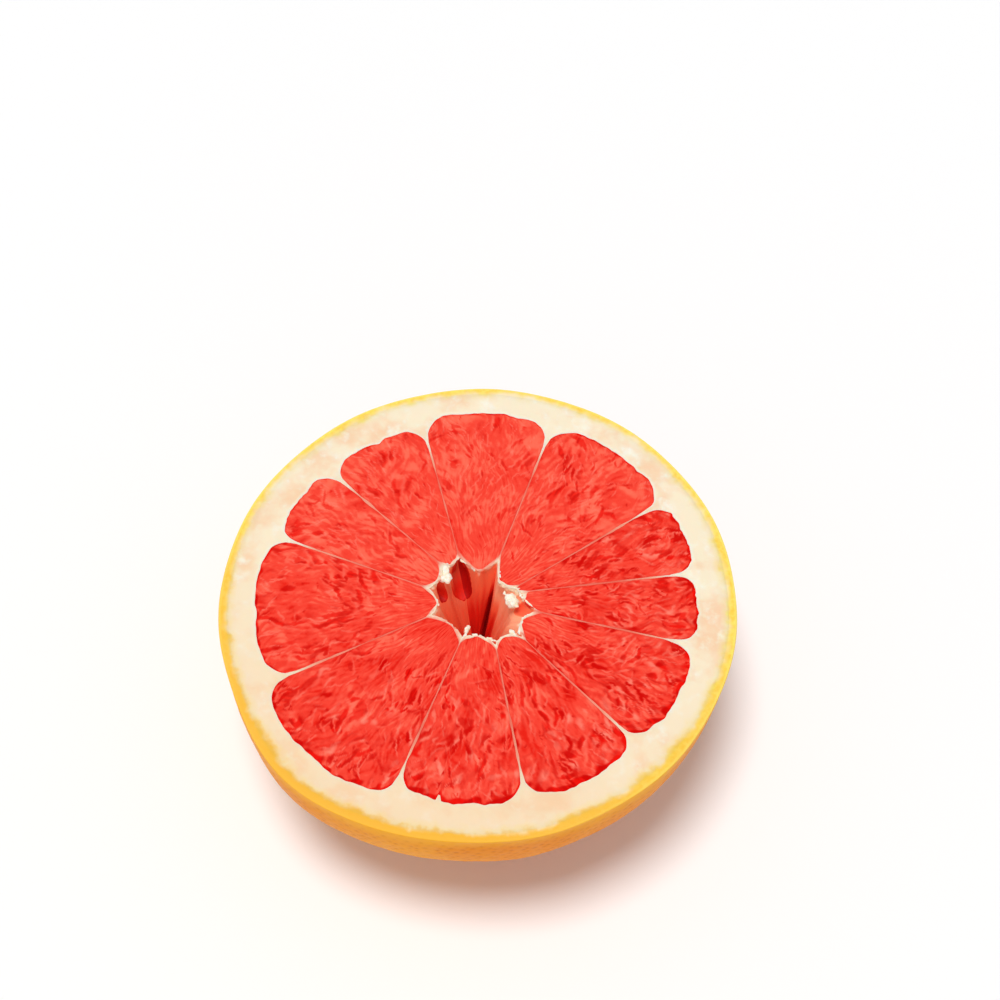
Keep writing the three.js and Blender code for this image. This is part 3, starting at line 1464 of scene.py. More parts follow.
    def build(self, finish: Material) -> Object:
        """Models the pith.

        Args:
            finish: its material.

        Returns:
            The piece, which replaces the pith node.
        """
        mesh = self.cut()
        places = coordinates(mesh) / MM
        x, y, z = places.T
        radius, angle = np.hypot(x, y), np.arctan2(y, x)
        depth = PLAN.face - z
        on_top = depth < 0.01
        wall = self.core_wall(angle, np.maximum(depth, 0))
        in_core = (np.abs(radius - wall) < self.side_reach) & ~on_top
        rise = radius - self.core_wall(angle, np.zeros(len(angle)))
        write_layer(mesh, "from_skin", PLAN.skin_radius(angle) - radius)
        write_layer(mesh, "near_pulp", smoothstep(0.8, 0.1, self.pulp_gap(radius, angle)))
        write_layer(mesh, "core_depth", np.where(in_core, depth, 0.0))
        write_layer(mesh, "redness", np.where(in_core, self.redness(angle, depth), 0.0))
        write_layer(mesh, "lip", self.lip(angle, depth, rise) * (on_top | in_core))
        write_layer(mesh, "flush", smoothstep(46, 16, radius) * on_top)
        sink, outer, inner = self.septum_sink
        sunk = sink * smoothstep(outer, inner, radius) * smoothstep(0.4, 2.0, rise)
        places[on_top, 2] = PLAN.cut_height(x[on_top], y[on_top]) - sunk[on_top]
        set_coordinates(mesh, places * MM)
        mark_sharp(mesh, self.sharp)
        piece = to_piece(mesh, "pith_bowl", finish)
        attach(piece, BODY)
        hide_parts("pith")
        return piece


# -------- peel


@dataclass
class Peel:
    """The thin pored skin, with its cut edge."""

    pore_spacing: float = 2.1
    pore_depth: float = 0.1
    pore_radius: float = 0.62
    pore_jitter: float = 0.13
    pore_strengths: Pair = (0.55, 1.3)
    pore_dark: Pair = (0.8, 0.15)
    calm: Triple = (0.3, 1.0, 7.0)
    waves: tuple[tuple[float, WaveNoise], ...] = (
        (0.09, WaveNoise(31, 14.0)),
        (0.03, WaveNoise(32, 2.6)),
    )
    wave_top: float = 1.2
    scar_depth: float = 0.35
    scar_radii: Pair = (2.6, 0.4)
    bevel: float = 0.45
    cut_rings: int = 6
    inner_levels: int = 9
    inner_turn: float = 84.0
    sharp: float = 60.0

    def pores(self) -> tuple[Array, Array]:
        """Where the pores lie on a unit half sphere, hanging down.

        Returns:
            The pores on its side, and those on its open edge.
        """
        rng = np.random.default_rng(5)
        edge_count = round(TAU * PLAN.equator / self.pore_spacing)
        turn = np.arange(edge_count) * TAU / edge_count
        edge = np.stack([np.cos(turn), np.sin(turn), np.zeros(edge_count)], axis=1)
        count = round(TAU * (PLAN.equator / self.pore_spacing) ** 2 / 0.87)
        number = np.arange(count) + 0.5
        height = -number / count
        around = number * math.pi * (1 + math.sqrt(5))
        flat = np.sqrt(1 - height * height)
        side = np.stack([flat * np.cos(around), flat * np.sin(around), height], axis=1)
        step = self.pore_spacing / PLAN.equator
        side += rng.normal(0, self.pore_jitter * step, side.shape)
        side /= np.linalg.norm(side, axis=1)[:, None]
        return side[side[:, 2] < -0.7 * step], edge

    def place(self, unit: Array) -> Array:
        """Puts points of the unit half sphere on the skin.

        Args:
            unit: the points, one row each.

        Returns:
            Their places in millimetres.
        """
        angle = np.arctan2(unit[:, 1], unit[:, 0])
        turn = np.arcsin(np.clip(-unit[:, 2], 0, 1))
        across, height = PLAN.profile(turn, 0.0)
        height = np.minimum(height, PLAN.face - self.bevel)
        across = across * PLAN.girth(angle) - PLAN.skin_margin
        across = np.maximum(across, 0)
        return np.stack([across * np.cos(angle), across * np.sin(angle), height], axis=1)

    def side(self) -> BMesh:
        """Models the open outer side.

        Returns:
            A unit half sphere, with one small ring of facets round each pore.
        """
        side, edge = self.pores()
        work = bmesh.new()
        for point in np.concatenate([edge, side]):
            work.verts.new(point)
        bmesh.ops.convex_hull(work, input=work.verts[:])
        lid = [face for face in work.faces if all(v.co.z > -1e-4 for v in face.verts)]
        bmesh.ops.delete(work, geom=lid, context="FACES")
        bmesh.ops.subdivide_edges(work, edges=work.edges[:], cuts=3, use_grid_fill=True)
        return work

    def inner_steps(self) -> list[Triple]:
        """The rings from the outer edge over the cut and down the hidden inner side.

        Returns:
            For each, how far in it lies, how far below the cut, and its turn in degrees.
        """
        bevel = [math.pi / 2 * step / 3 for step in (1, 2, 3)]
        rings = [(self.bevel * (1 - math.cos(t)), self.bevel * (1 - math.sin(t))) for t in bevel]
        flat = np.linspace(self.bevel, PLAN.peel, self.cut_rings + 1)[1:]
        rings += [(float(inset), 0.0) for inset in flat]
        steps = [(inset, drop, 0.0) for inset, drop in rings]
        return steps + [
            (PLAN.peel, 0.0, self.inner_turn * number / self.inner_levels)
            for number in range(1, self.inner_levels + 1)
        ]

    def shell(self) -> Mesh:
        """Closes the skin, before its pores sink in.

        Returns:
            Its mesh, with layers that place its cut edge and inner side.
        """
        work = self.side()
        turn = work.verts.layers.float.new("turn")
        layers = [work.verts.layers.float.new(name) for name in ("inward", "drop", "level")]
        for edge in boundary(work):
            for vertex in edge.verts:
                vertex[turn] = math.atan2(vertex.co.y, vertex.co.x)
        for step in self.inner_steps():
            for vertex in extruded(work, boundary(work)):
                for layer, value in zip(layers, step):
                    vertex[layer] = value
        bmesh.ops.holes_fill(work, edges=boundary(work), sides=0)
        return to_mesh(work, "peel")

    def dented(self, places: Array, distance: Array, strength: Array) -> Array:
        """Sinks the pores, the scar and the skin's unevenness in.

        Args:
            places: points on the skin.
            distance: of each from its pore.
            strength: of that pore.

        Returns:
            Their new places.
        """
        normal = places - np.array([0, 0, PLAN.face])
        normal[:, :2] /= PLAN.equator**2
        normal[:, 2] /= PLAN.face**2
        normal /= np.linalg.norm(normal, axis=1)[:, None]
        dent = self.pore_depth * strength * smoothstep(self.pore_radius, 0.1, distance)
        top = self.wave_top
        wave = sum(
            height * np.clip(noise(*places.T) - top, -2 * top, 0) for height, noise in self.waves
        )
        wave = wave * smoothstep(0.0, 2.0, places[:, 2])
        fade = smoothstep(-0.2, 0.8, PLAN.face - self.bevel - places[:, 2])
        middle = np.hypot(places[:, 0], places[:, 1])
        scar = self.scar_depth * smoothstep(*self.scar_radii, middle)
        scar *= places[:, 2] < 1
        return places + normal * ((wave - dent - scar) * fade)[:, None]

    def inside(self, mesh: Mesh) -> Array:
        """The cut edge and the inner side.

        Args:
            mesh: the closed skin with its layers.

        Returns:
            The place of each vertex, in millimetres, as if none lay outside.
        """
        turn, inward = read_layer(mesh, "turn"), read_layer(mesh, "inward")
        level, drop = read_layer(mesh, "level"), read_layer(mesh, "drop")
        skin = PLAN.skin_radius(turn)
        across, height = PLAN.profile(np.radians(level), PLAN.peel)
        inner = across * (skin - PLAN.peel) / (PLAN.equator - PLAN.peel)
        ring = np.where(level > 0, inner, skin - inward)
        x, y = ring * np.cos(turn), ring * np.sin(turn)
        cut = PLAN.cut_height(x, y) - drop
        return np.stack([x, y, np.where(level > 0, np.minimum(height, PLAN.face - 0.5), cut)], axis=1)

    def build(self, finish: Material) -> Object:
        """Models the peel.

        Args:
            finish: its material.

        Returns:
            The piece, which replaces the peel node.
        """
        mesh = self.shell()
        unit = coordinates(mesh)
        unit /= np.maximum(np.linalg.norm(unit, axis=1), 0.5)[:, None]
        inward = read_layer(mesh, "inward")
        outside = inward == 0
        skin = self.place(unit)
        distance, strength = self.pore_distance(skin)
        least, start, full = self.calm
        risen = smoothstep(start, full, PLAN.face - skin[:, 2])
        strength = strength * (least + (1 - least) * risen)
        dented = self.dented(skin, distance, strength)
        places = np.where(outside[:, None], dented, self.inside(mesh))
        set_coordinates(mesh, places * MM)
        dark = smoothstep(*self.pore_dark, distance)
        write_layer(mesh, "pore", np.where(outside, dark, 0))
        write_layer(mesh, "pore_strength", np.where(outside, strength, 0))
        write_layer(mesh, "from_skin", inward)
        for name in ("turn", "inward", "level", "drop"):
            mesh.attributes.remove(mesh.attributes[name])
        face_outwards(mesh)
        mark_sharp(mesh, self.sharp)
        piece = to_piece(mesh, "peel_skin", finish)
        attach(piece, BODY)
        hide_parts("peel")
        return piece

    def pore_distance(self, places: Array) -> tuple[Array, Array]:
        """How far each point is from its nearest pore, and how strong that pore is.

        Args:
            places: points on the skin.

        Returns:
            Distances in millimetres, and strengths about 1.
        """
        centres = self.place(np.concatenate(self.pores()))
        rng = np.random.default_rng(6)
        strength = rng.uniform(*self.pore_strengths, len(centres))
        tree = KDTree(len(centres))
        for number, centre in enumerate(centres):
            tree.insert(centre, number)
        tree.balance()
        _, nearest, distance = zip(*(tree.find(place) for place in places))
        return np.array(distance), strength[list(nearest)]


# -------- core fibres


@dataclass(frozen=True)
class Tuft:
    """A torn shred of pith at the mouth of the core, gathered along a line."""

    start: Pair
    end: Pair
    beads: int
    bead: float
    spread: float
    drop: float = 0.0


@dataclass
class CoreFibres:
    """Torn white shreds that hang round the mouth of the core."""

    grain: float = 0.1
    sizes: Pair = (0.6, 1.15)
    stretches: Pair = (0.75, 1.3)
    wavers: tuple[WaveNoise, ...] = tuple(WaveNoise(seed, 0.9, 0.08) for seed in (81, 82, 83))
    tufts: tuple[Tuft, ...] = (
        Tuft((-8.4, 9.0), (-6.0, 9.2), 8, 0.75, 0.25),
        Tuft((-7.6, 8.3), (-7.0, 5.6), 14, 0.85, 0.35),
        Tuft((-4.1, 10.3), (-1.0, 7.7), 20, 0.32, 0.08),
        Tuft((3.9, 9.8), (4.4, 5.4), 18, 0.24, 0.06),
        Tuft((4.6, 4.7), (7.4, 3.3), 14, 0.28, 0.08),
        Tuft((6.4, 1.6), (6.9, 0.4), 8, 1.15, 0.28, 0.4),
        Tuft((6.2, 1.9), (7.1, 0.1), 24, 0.42, 0.6, 0.5),
        Tuft((8.5, 2.4), (9.3, 0.9), 8, 0.3, 0.12),
        Tuft((12.1, -2.4), (9.8, -3.6), 14, 0.3, 0.06),
        Tuft((9.4, -3.7), (8.6, -7.5), 20, 0.28, 0.06),
        Tuft((-2.3, -6.5), (-2.1, -6.9), 6, 0.5, 0.2),
        Tuft((-1.0, -7.9), (-0.6, -8.3), 6, 0.5, 0.2),
        Tuft((7.2, -6.9), (7.4, -7.3), 6, 0.5, 0.25),
        Tuft((1.9, -8.7), (4.3, -9.6), 16, 0.3, 0.08),
        Tuft((-10.7, 2.7), (-8.4, -1.1), 18, 0.24, 0.06),
        Tuft((-3.5, -9.8), (-2.5, -7.7), 10, 0.32, 0.08),
    )

    def build(self, finish: Material) -> Object:
        """Models the fibres.

        Args:
            finish: their material.

        Returns:
            The piece.
        """
        rng = np.random.default_rng(77)
        work = bmesh.new()
        for tuft in self.tufts:
            start, end = Vector(tuft.start), Vector(tuft.end)
            for number in range(tuft.beads):
                on_line = start.lerp(end, (number + rng.uniform(0, 1)) / tuft.beads)
                size = tuft.bead * rng.uniform(*self.sizes)
                dx, dy, dz = rng.normal(0, 1, 3) * tuft.spread
                low = PLAN.face - 0.1 - size - 0.5 * abs(dz) - tuft.drop * rng.uniform(0, 1)
                stretch = Matrix.Diagonal((*rng.uniform(*self.stretches, 3), 1.0))
                spot = Vector((on_line.x + dx, on_line.y + dy, low)) * MM
                turned = Matrix.Translation(spot) @ stretch
                bmesh.ops.create_icosphere(work, subdivisions=2, radius=size * MM, matrix=turned)
        mesh = to_mesh(work, "fibres")
        places = coordinates(mesh) / MM
        for axis, noise in enumerate(self.wavers):
            places[:, axis] += noise(*places.T)
        places[:, 2] = np.minimum(places[:, 2], PLAN.face - 0.02)
        set_coordinates(mesh, places * MM)
        piece = to_piece(fused(mesh, self.grain * MM), "core_fibres", finish)
        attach(piece, BODY)
        return piece


# -------- materials


Colour = tuple[float, float, float, float]
BLACK = (0.0, 0.0, 0.0, 1.0)
WHITE = (1.0, 1.0, 1.0, 1.0)


def colour(red: int, green: int, blue: int) -> Colour:
    """A colour as the shader's linear light.

    Args:
        red: from 0 to 255, as the other two.
        green: the same.
        blue: the same.

    Returns:
        The colour, opaque.
    """

    def linear(level: int) -> float:
        """One channel."""
        share = level / 255
        return share / 12.92 if share <= 0.04045 else ((share + 0.055) / 1.055) ** 2.4

    return linear(red), linear(green), linear(blue), 1.0


@dataclass(frozen=True)
class Softness:
    """Light under a surface: its share, its reach by colour, and that reach in metres."""

    share: float
    colours: Triple
    reach: float


class Sheet:
    """Lays out the nodes of one material or node group."""

    def __init__(self, tree: NodeTree) -> None:
        """Starts on an empty tree."""
        self.tree = tree
        tree.nodes.clear()

    def node(self, kind: str, **settings: object) -> Node:
        """Adds a node.

        Args:
            kind: the node's type.
            settings: its own settings by name.

        Returns:
            The node.
        """
        made = self.tree.nodes.new(kind)
        for name, value in settings.items():
            setattr(made, name, value)
        made.location = (200 * (len(self.tree.nodes) % 12), -220 * (len(self.tree.nodes) // 12))
        return made

    def feed(self, socket: Socket, value: object) -> None:
        """Links a socket to another, or sets its value.

        Args:
            socket: the input.
            value: a socket, a number or a colour.
        """
        if isinstance(value, Socket):
            self.tree.links.new(value, socket)
        else:
            socket.default_value = value

    def feed_all(self, node: Node, values: dict[str, object]) -> None:
        """Feeds several inputs of a node, by name with _ for a space."""
        for name, value in values.items():
            self.feed(node.inputs[name.replace("_", " ")], value)

    def maths(self, operation: str, *values: Value, clamp: bool = False) -> Socket:
        """A number worked out from others.

        Args:
            operation: the Math node's operation.
            values: numbers or sockets.
            clamp: keep the result between 0 and 1.

        Returns:
            The result's socket.
        """
        made = self.node("ShaderNodeMath", operation=operation, use_clamp=clamp)
        for socket, value in zip(made.inputs, values):
            self.feed(socket, value)
        return made.outputs[0]

    def times(self, first: Value, second: Value) -> Socket:
        """The product of two numbers."""
        return self.maths("MULTIPLY", first, second)

    def plus(self, value: Value, factor: Value, more: Value) -> Socket:
        """A number times a factor, plus one more."""
        return self.maths("MULTIPLY_ADD", value, factor, more)

    def ramp(self, value: Socket, low: Value, high: Value) -> Socket:
        """A soft step.

        Args:
            value: what is tested.
            low: where the step starts, at 0.
            high: where it ends, at 1; it may be less than low.

        Returns:
            The step's socket.
        """
        made = self.node("ShaderNodeMapRange", interpolation_type="SMOOTHSTEP", clamp=True)
        self.feed_all(made, {"Value": value, "From Min": low, "From Max": high})
        return made.outputs["Result"]

    def mix(self, share: Value, first: object, second: object) -> Socket:
        """A colour between two others.

        Args:
            share: how much of the second.
            first: colour or socket.
            second: colour or socket.

        Returns:
            The mixed colour's socket.
        """
        made = self.node("ShaderNodeMix", data_type="RGBA", clamp_factor=True)
        for number, value in ((0, share), (6, first), (7, second)):
            self.feed(made.inputs[number], value)
        return made.outputs[2]

    def noise(self, place: Socket, scale: Value, detail: float) -> Socket:
        """Noise between 0 and 1, about a half.

        Args:
            place: where it is asked for.
            scale: how many of its forms lie in a metre.
            detail: how many finer layers it has.

        Returns:
            The noise's socket.
        """
        made = self.node("ShaderNodeTexNoise")
        self.feed_all(made, {"Vector": place, "Scale": scale, "Detail": detail})
        return made.outputs["Fac"]

    def layer(self, name: str) -> Socket:
        """A mesh layer's number."""
        return self.node("ShaderNodeAttribute", attribute_name=name).outputs["Fac"]

    def place(self) -> Socket:
        """The place in the object's own metres."""
        return self.node("ShaderNodeTexCoord").outputs["Object"]

    def apart(self, place: Socket) -> Sequence[Socket]:
        """The three numbers of a place.

        Args:
            place: the place.

        Returns:
            X, Y and Z.
        """
        made = self.node("ShaderNodeSeparateXYZ")
        self.feed(made.inputs[0], place)
        return made.outputs[:]

    def group(self, group: NodeTree, **values: object) -> Node:
        """Places a node group.

        Args:
            group: the group.
            values: its inputs by name, with _ for a space.

        Returns:
            The group's node.
        """
        made = self.node("ShaderNodeGroup", node_tree=group)
        self.feed_all(made, values)
        return made

    def bump(self, height: Socket, distance: float, strength: float) -> Socket:
        """A surface roughened by a height.

        Args:
            height: from 0 to 1.
            distance: of that height, in metres.
            strength: share of the whole effect.

        Returns:
            The normal's socket.
        """
        made = self.node("ShaderNodeBump")
        self.feed_all(made, {"Strength": strength, "Distance": distance, "Height": height})
        return made.outputs["Normal"]

    def finish(self, soft: Softness | None = None, **values: object) -> None:
        """Ends a material with a Principled shader.

        Args:
            soft: the light under the surface.
            values: the shader's inputs by name, with _ for a space.
        """
        shader = self.node("ShaderNodeBsdfPrincipled")
        self.feed_all(shader, values)
        if soft:
            under = zip(("Weight", "Radius", "Scale"), (soft.share, soft.colours, soft.reach))
            self.feed_all(shader, {f"Subsurface_{name}": value for name, value in under})
        end = self.node("ShaderNodeOutputMaterial")
        self.tree.links.new(shader.outputs[0], end.inputs["Surface"])


def new_material(name: str) -> tuple[Material, Sheet]:
    """Starts a material.

    Args:
        name: its name.

    Returns:
        The material and its empty sheet.
    """
    made = bpy.data.materials.new(name)
    made.use_nodes = True
    return made, Sheet(made.node_tree)


def new_group(
    name: str, inputs: dict[str, str], outputs: dict[str, str]
) -> tuple[Sheet, dict[str, Socket], Node]:
    """Starts a node group.

    Args:
        name: the group's name.
        inputs: kinds of value by name, such as Color.
        outputs: the same for what it puts out.

    Returns:
        Its sheet, its input sockets by name, and its output node.
    """
    tree = bpy.data.node_groups.new(name, "ShaderNodeTree")
    for side, sockets in (("INPUT", inputs), ("OUTPUT", outputs)):
        for title, kind in sockets.items():
            tree.interface.new_socket(title, in_out=side, socket_type=f"NodeSocket{kind}")
    sheet = Sheet(tree)
    source = sheet.node("NodeGroupInput")
    return sheet, {s.name: s for s in source.outputs if s.name}, sheet.node("NodeGroupOutput")


def mottle_group() -> NodeTree:
    """Soft blotches of two other colours over a base, with a fine grain for bump.

    Returns:
        The group.
    """
    sheet, given, out = new_group(
        "mottle",
        {"Place": "Vector", "Base": "Color", "Warm": "Color", "Pale": "Color", "Size": "Float"},
        {"Color": "Color", "Grain": "Float"},
    )
    place = given["Place"]
    scale = sheet.maths("DIVIDE", 1.0, given["Size"])
    blotch = sheet.noise(place, scale, 3.0)
    finer = sheet.noise(place, sheet.times(scale, 3.1), 3.0)
    warm = sheet.ramp(sheet.maths("ADD", blotch, sheet.times(finer, 0.35)), 0.62, 0.86)
    pale = sheet.ramp(finer, 0.48, 0.8)
    first = sheet.mix(warm, given["Base"], given["Warm"])
    sheet.feed(out.inputs["Color"], sheet.mix(pale, first, given["Pale"]))
    sheet.feed(out.inputs["Grain"], sheet.noise(place, sheet.times(scale, 11.0), 3.0))
    return sheet.tree


@dataclass(frozen=True)
class CutRind:
    """The cut rind from the skin inwards: bright rim, yellow oil layer, ragged edge, pith.

    ragged says how far that edge is pushed in by coarse, fine and wide noise, in front and on
    the right.
    """

    pith: Colour = colour(254, 236, 207)
    pith_warm: Colour = colour(252, 213, 175)
    pith_pale: Colour = colour(255, 247, 230)
    pith_front: Colour = colour(251, 210, 164)
    washed: Colour = colour(253, 222, 140)
    oil: Colour = colour(252, 212, 84)
    oil_light: Colour = colour(254, 226, 110)
    oil_front: Colour = colour(250, 185, 64)
    gland: Colour = colour(244, 186, 48)
    # This paler rim colour is a painted highlight along the skin's cut edge.
    rim: Colour = colour(255, 236, 118)
    yellow: Pair = (0.9, -0.8)
    wash: Pair = (2.0, 0.0)
    edge_start: float = -1.5
    ragged: tuple[float, ...] = (3.6, 1.0, 0.8, 0.9, 0.6)
    blotch: float = 0.009

    def group(self, mottle: NodeTree) -> NodeTree:
        """Builds the node group.

        Args:
            mottle: the group that blotches a colour.

        Returns:
            The group.
        """
        sheet, given, out = new_group(
            "cut rind", {"Place": "Vector", "From Skin": "Float"}, {"Color": "Color"}
        )
        place, depth = given["Place"], given["From Skin"]
        coarse = sheet.noise(place, 260.0, 2.0)
        fine = sheet.noise(place, 950.0, 2.0)
        wide = sheet.noise(place, 45.0, 1.0)
        x, y, _ = sheet.apart(place)
        front = sheet.ramp(sheet.plus(wide, 0.03, sheet.plus(x, 0.35, y)), 0.03, -0.045)
        right = sheet.ramp(x, 0.025, 0.05)
        edge: Value = self.edge_start
        for push, amount in zip((coarse, fine, wide, front, right), self.ragged):
            edge = sheet.plus(push, amount, edge)
        past = sheet.maths("SUBTRACT", depth, edge)
        yellow = sheet.ramp(past, *self.yellow)
        wash = sheet.times(sheet.ramp(past, *self.wash), 0.5)
        glands = sheet.node("ShaderNodeTexVoronoi", feature="F1")
        sheet.feed_all(glands, {"Vector": place, "Scale": 620.0})
        cell = sheet.ramp(glands.outputs["Distance"], 0.55, 0.15)
        blotched = sheet.group(
            mottle, Place=place, Size=self.blotch,
            Base=self.pith, Warm=self.pith_warm, Pale=self.pith_pale,
        )
        oil = sheet.mix(sheet.ramp(fine, 0.35, 0.7), self.oil, self.oil_light)
        oil = sheet.mix(sheet.times(cell, 0.3), oil, self.gland)
        # The band next to the skin is painted paler, as the edge's highlight.
        oil = sheet.mix(sheet.times(sheet.ramp(depth, 0.75, 0.25), 0.7), oil, self.rim)
        oil = sheet.mix(sheet.times(front, 0.95), oil, self.oil_front)
        pith = blotched.outputs["Color"]
        pith = sheet.mix(sheet.times(front, 0.5), pith, self.pith_front)
        pith = sheet.mix(wash, pith, self.washed)
        sheet.feed(out.inputs["Color"], sheet.mix(yellow, pith, oil))
        return sheet.tree


@dataclass(frozen=True)
class PulpFinish:
    """Wet red flesh: coral sacs, deep red gaps of painted shade and paler films between them."""

    base: Colour = colour(247, 69, 52)
    light: Colour = colour(255, 108, 84)
    dark: Colour = colour(234, 34, 20)
    # The next two colours are painted shade for the hollows and the border, deep and shallow.
    gap: Colour = colour(210, 3, 0)
    shallow: Colour = colour(238, 16, 6)
    # This pale colour also paints the highlights of films, lips and sheens.
    film_and_highlight: Colour = colour(255, 142, 120)
    film_and_highlight_share: float = 0.8
    roughness: float = 0.42
    wet: float = 0.12
    soft: Softness = Softness(0.1, (1.0, 0.25, 0.15), 0.0008)

    def material(self) -> Material:
        """Builds the material.

        Returns:
            The material.
        """
        made, sheet = new_material("pulp")
        place = sheet.place()
        tone = sheet.layer("tone")
        small = sheet.noise(place, 900.0, 3.0)
        wide = sheet.noise(place, 120.0, 2.0)
        level = sheet.plus(small, 0.9, sheet.maths("SUBTRACT", tone, 0.45))
        level = sheet.plus(wide, 0.8, sheet.maths("SUBTRACT", level, 0.4))
        flesh = sheet.mix(sheet.ramp(level, 0.0, 0.9), self.base, self.light)
        # Low tone, which holds the painted shade along the creases, turns the flesh dark.
        flesh = sheet.mix(sheet.ramp(level, 0.0, -0.9), flesh, self.dark)
        # Films, lips and sheens are laid on as painted highlights.
        filmed_and_highlighted = sheet.mix(sheet.times(sheet.layer("film_and_highlight"), self.film_and_highlight_share), flesh, self.film_and_highlight)
        # The hollows between the sacs and the pulp's border take painted shade.
        hollow = sheet.mix(sheet.ramp(tone, -0.2, 0.3), self.gap, self.shallow)
        grain = sheet.noise(place, 2600.0, 2.0)
        sheet.finish(
            self.soft,
            Base_Color=sheet.mix(sheet.layer("painted_shade"), filmed_and_highlighted, hollow),
            Roughness=sheet.plus(small, 0.25, self.roughness - 0.12),
            Specular_IOR_Level=0.03,
            Coat_Weight=sheet.times(sheet.layer("film_and_highlight"), self.wet),
            Coat_Roughness=0.2,
            Normal=sheet.bump(grain, 0.00005, 0.5),
        )
        return made


@dataclass(frozen=True)
class PithFinish:
    """Spongy cream rind, walls that redden inwards, and the salmon side of the core.

    reds holds the core's colours, each with the redness at which it starts and is full. The
    core's side glows a little, in place of the light that shines through it.
    """

    line: Colour = colour(255, 246, 226)
    line_share: Pair = (0.3, 0.5)
    septum: Colour = colour(255, 158, 130)
    septum_deep: Colour = colour(255, 128, 106)
    veiled: Colour = colour(248, 96, 74)
    veil: float = 0.75
    salmon: Colour = colour(255, 184, 144)
    reds: tuple[tuple[Colour, float, float], ...] = (
        (colour(250, 116, 78), 0.0, 0.5),
        (colour(226, 36, 18), 0.5, 0.8),
        (colour(176, 3, 0), 0.8, 1.0),
    )
    cream: Colour = colour(255, 238, 208)
    roughness: float = 0.62
    glow: float = 0.14
    glow_depths: Pair = (19.0, 3.0)
    soft: Softness = Softness(0.3, (1.0, 0.6, 0.35), 0.0015)

    def top(self, sheet: Sheet, place: Socket, cut_rind: NodeTree) -> Socket:
        """The cut face: the rind, and the walls between the segments.

        Args:
            sheet: the material's sheet.
            place: the place in the object's own metres.
            cut_rind: the group that colours the cut rind.

        Returns:
            The colour's socket.
        """
        rind = sheet.group(cut_rind, Place=place, From_Skin=sheet.layer("from_skin"))
        _, y, _ = sheet.apart(place)
        # The pale line along the pulp is painted brighter towards the back, as a highlight.
        least, gain = self.line_share
        shine = sheet.plus(sheet.ramp(y, -0.02, 0.02), gain, least)
        line = sheet.times(sheet.layer("near_pulp"), shine)
        bright = sheet.mix(line, rind.outputs["Color"], self.line)
        flush = sheet.layer("flush")
        wall = sheet.mix(sheet.ramp(flush, 0.15, 0.9), self.septum, self.septum_deep)
        veil = sheet.ramp(sheet.noise(place, 110.0, 1.0), 0.42, 0.62)
        veil = sheet.times(veil, sheet.ramp(flush, 0.15, 0.5))
        wall = sheet.mix(sheet.times(veil, self.veil), wall, self.veiled)
        return sheet.mix(sheet.ramp(flush, 0.0, 0.25), bright, wall)

    def material(self, cut_rind: NodeTree, mottle: NodeTree) -> Material:
        """Builds the material.

        Args:
            cut_rind: the group that colours the cut rind.
            mottle: the group that blotches a colour.

        Returns:
            The material.
        """
        made, sheet = new_material("pith")
        place = sheet.place()
        top = self.top(sheet, place, cut_rind)
        redness = sheet.layer("redness")
        side: Colour | Socket = self.salmon
        for shade, low, high in self.reds:
            side = sheet.mix(sheet.ramp(redness, low, high), side, shade)
        depth = sheet.layer("core_depth")
        inside = sheet.ramp(depth, 0.02, 0.3)
        body = sheet.mix(sheet.layer("lip"), sheet.mix(inside, top, side), self.cream)
        shone_through = sheet.times(inside, sheet.ramp(depth, *self.glow_depths))
        sponge = sheet.group(mottle, Place=place, Size=0.0007).outputs["Grain"]
        sheet.finish(
            self.soft,
            Base_Color=body,
            Roughness=sheet.plus(sponge, 0.2, self.roughness - 0.1),
            Specular_IOR_Level=0.3,
            Emission_Color=sheet.mix(shone_through, BLACK, body),
            Emission_Strength=self.glow,
            Normal=sheet.bump(sponge, 0.00008, 0.7),
        )
        return made


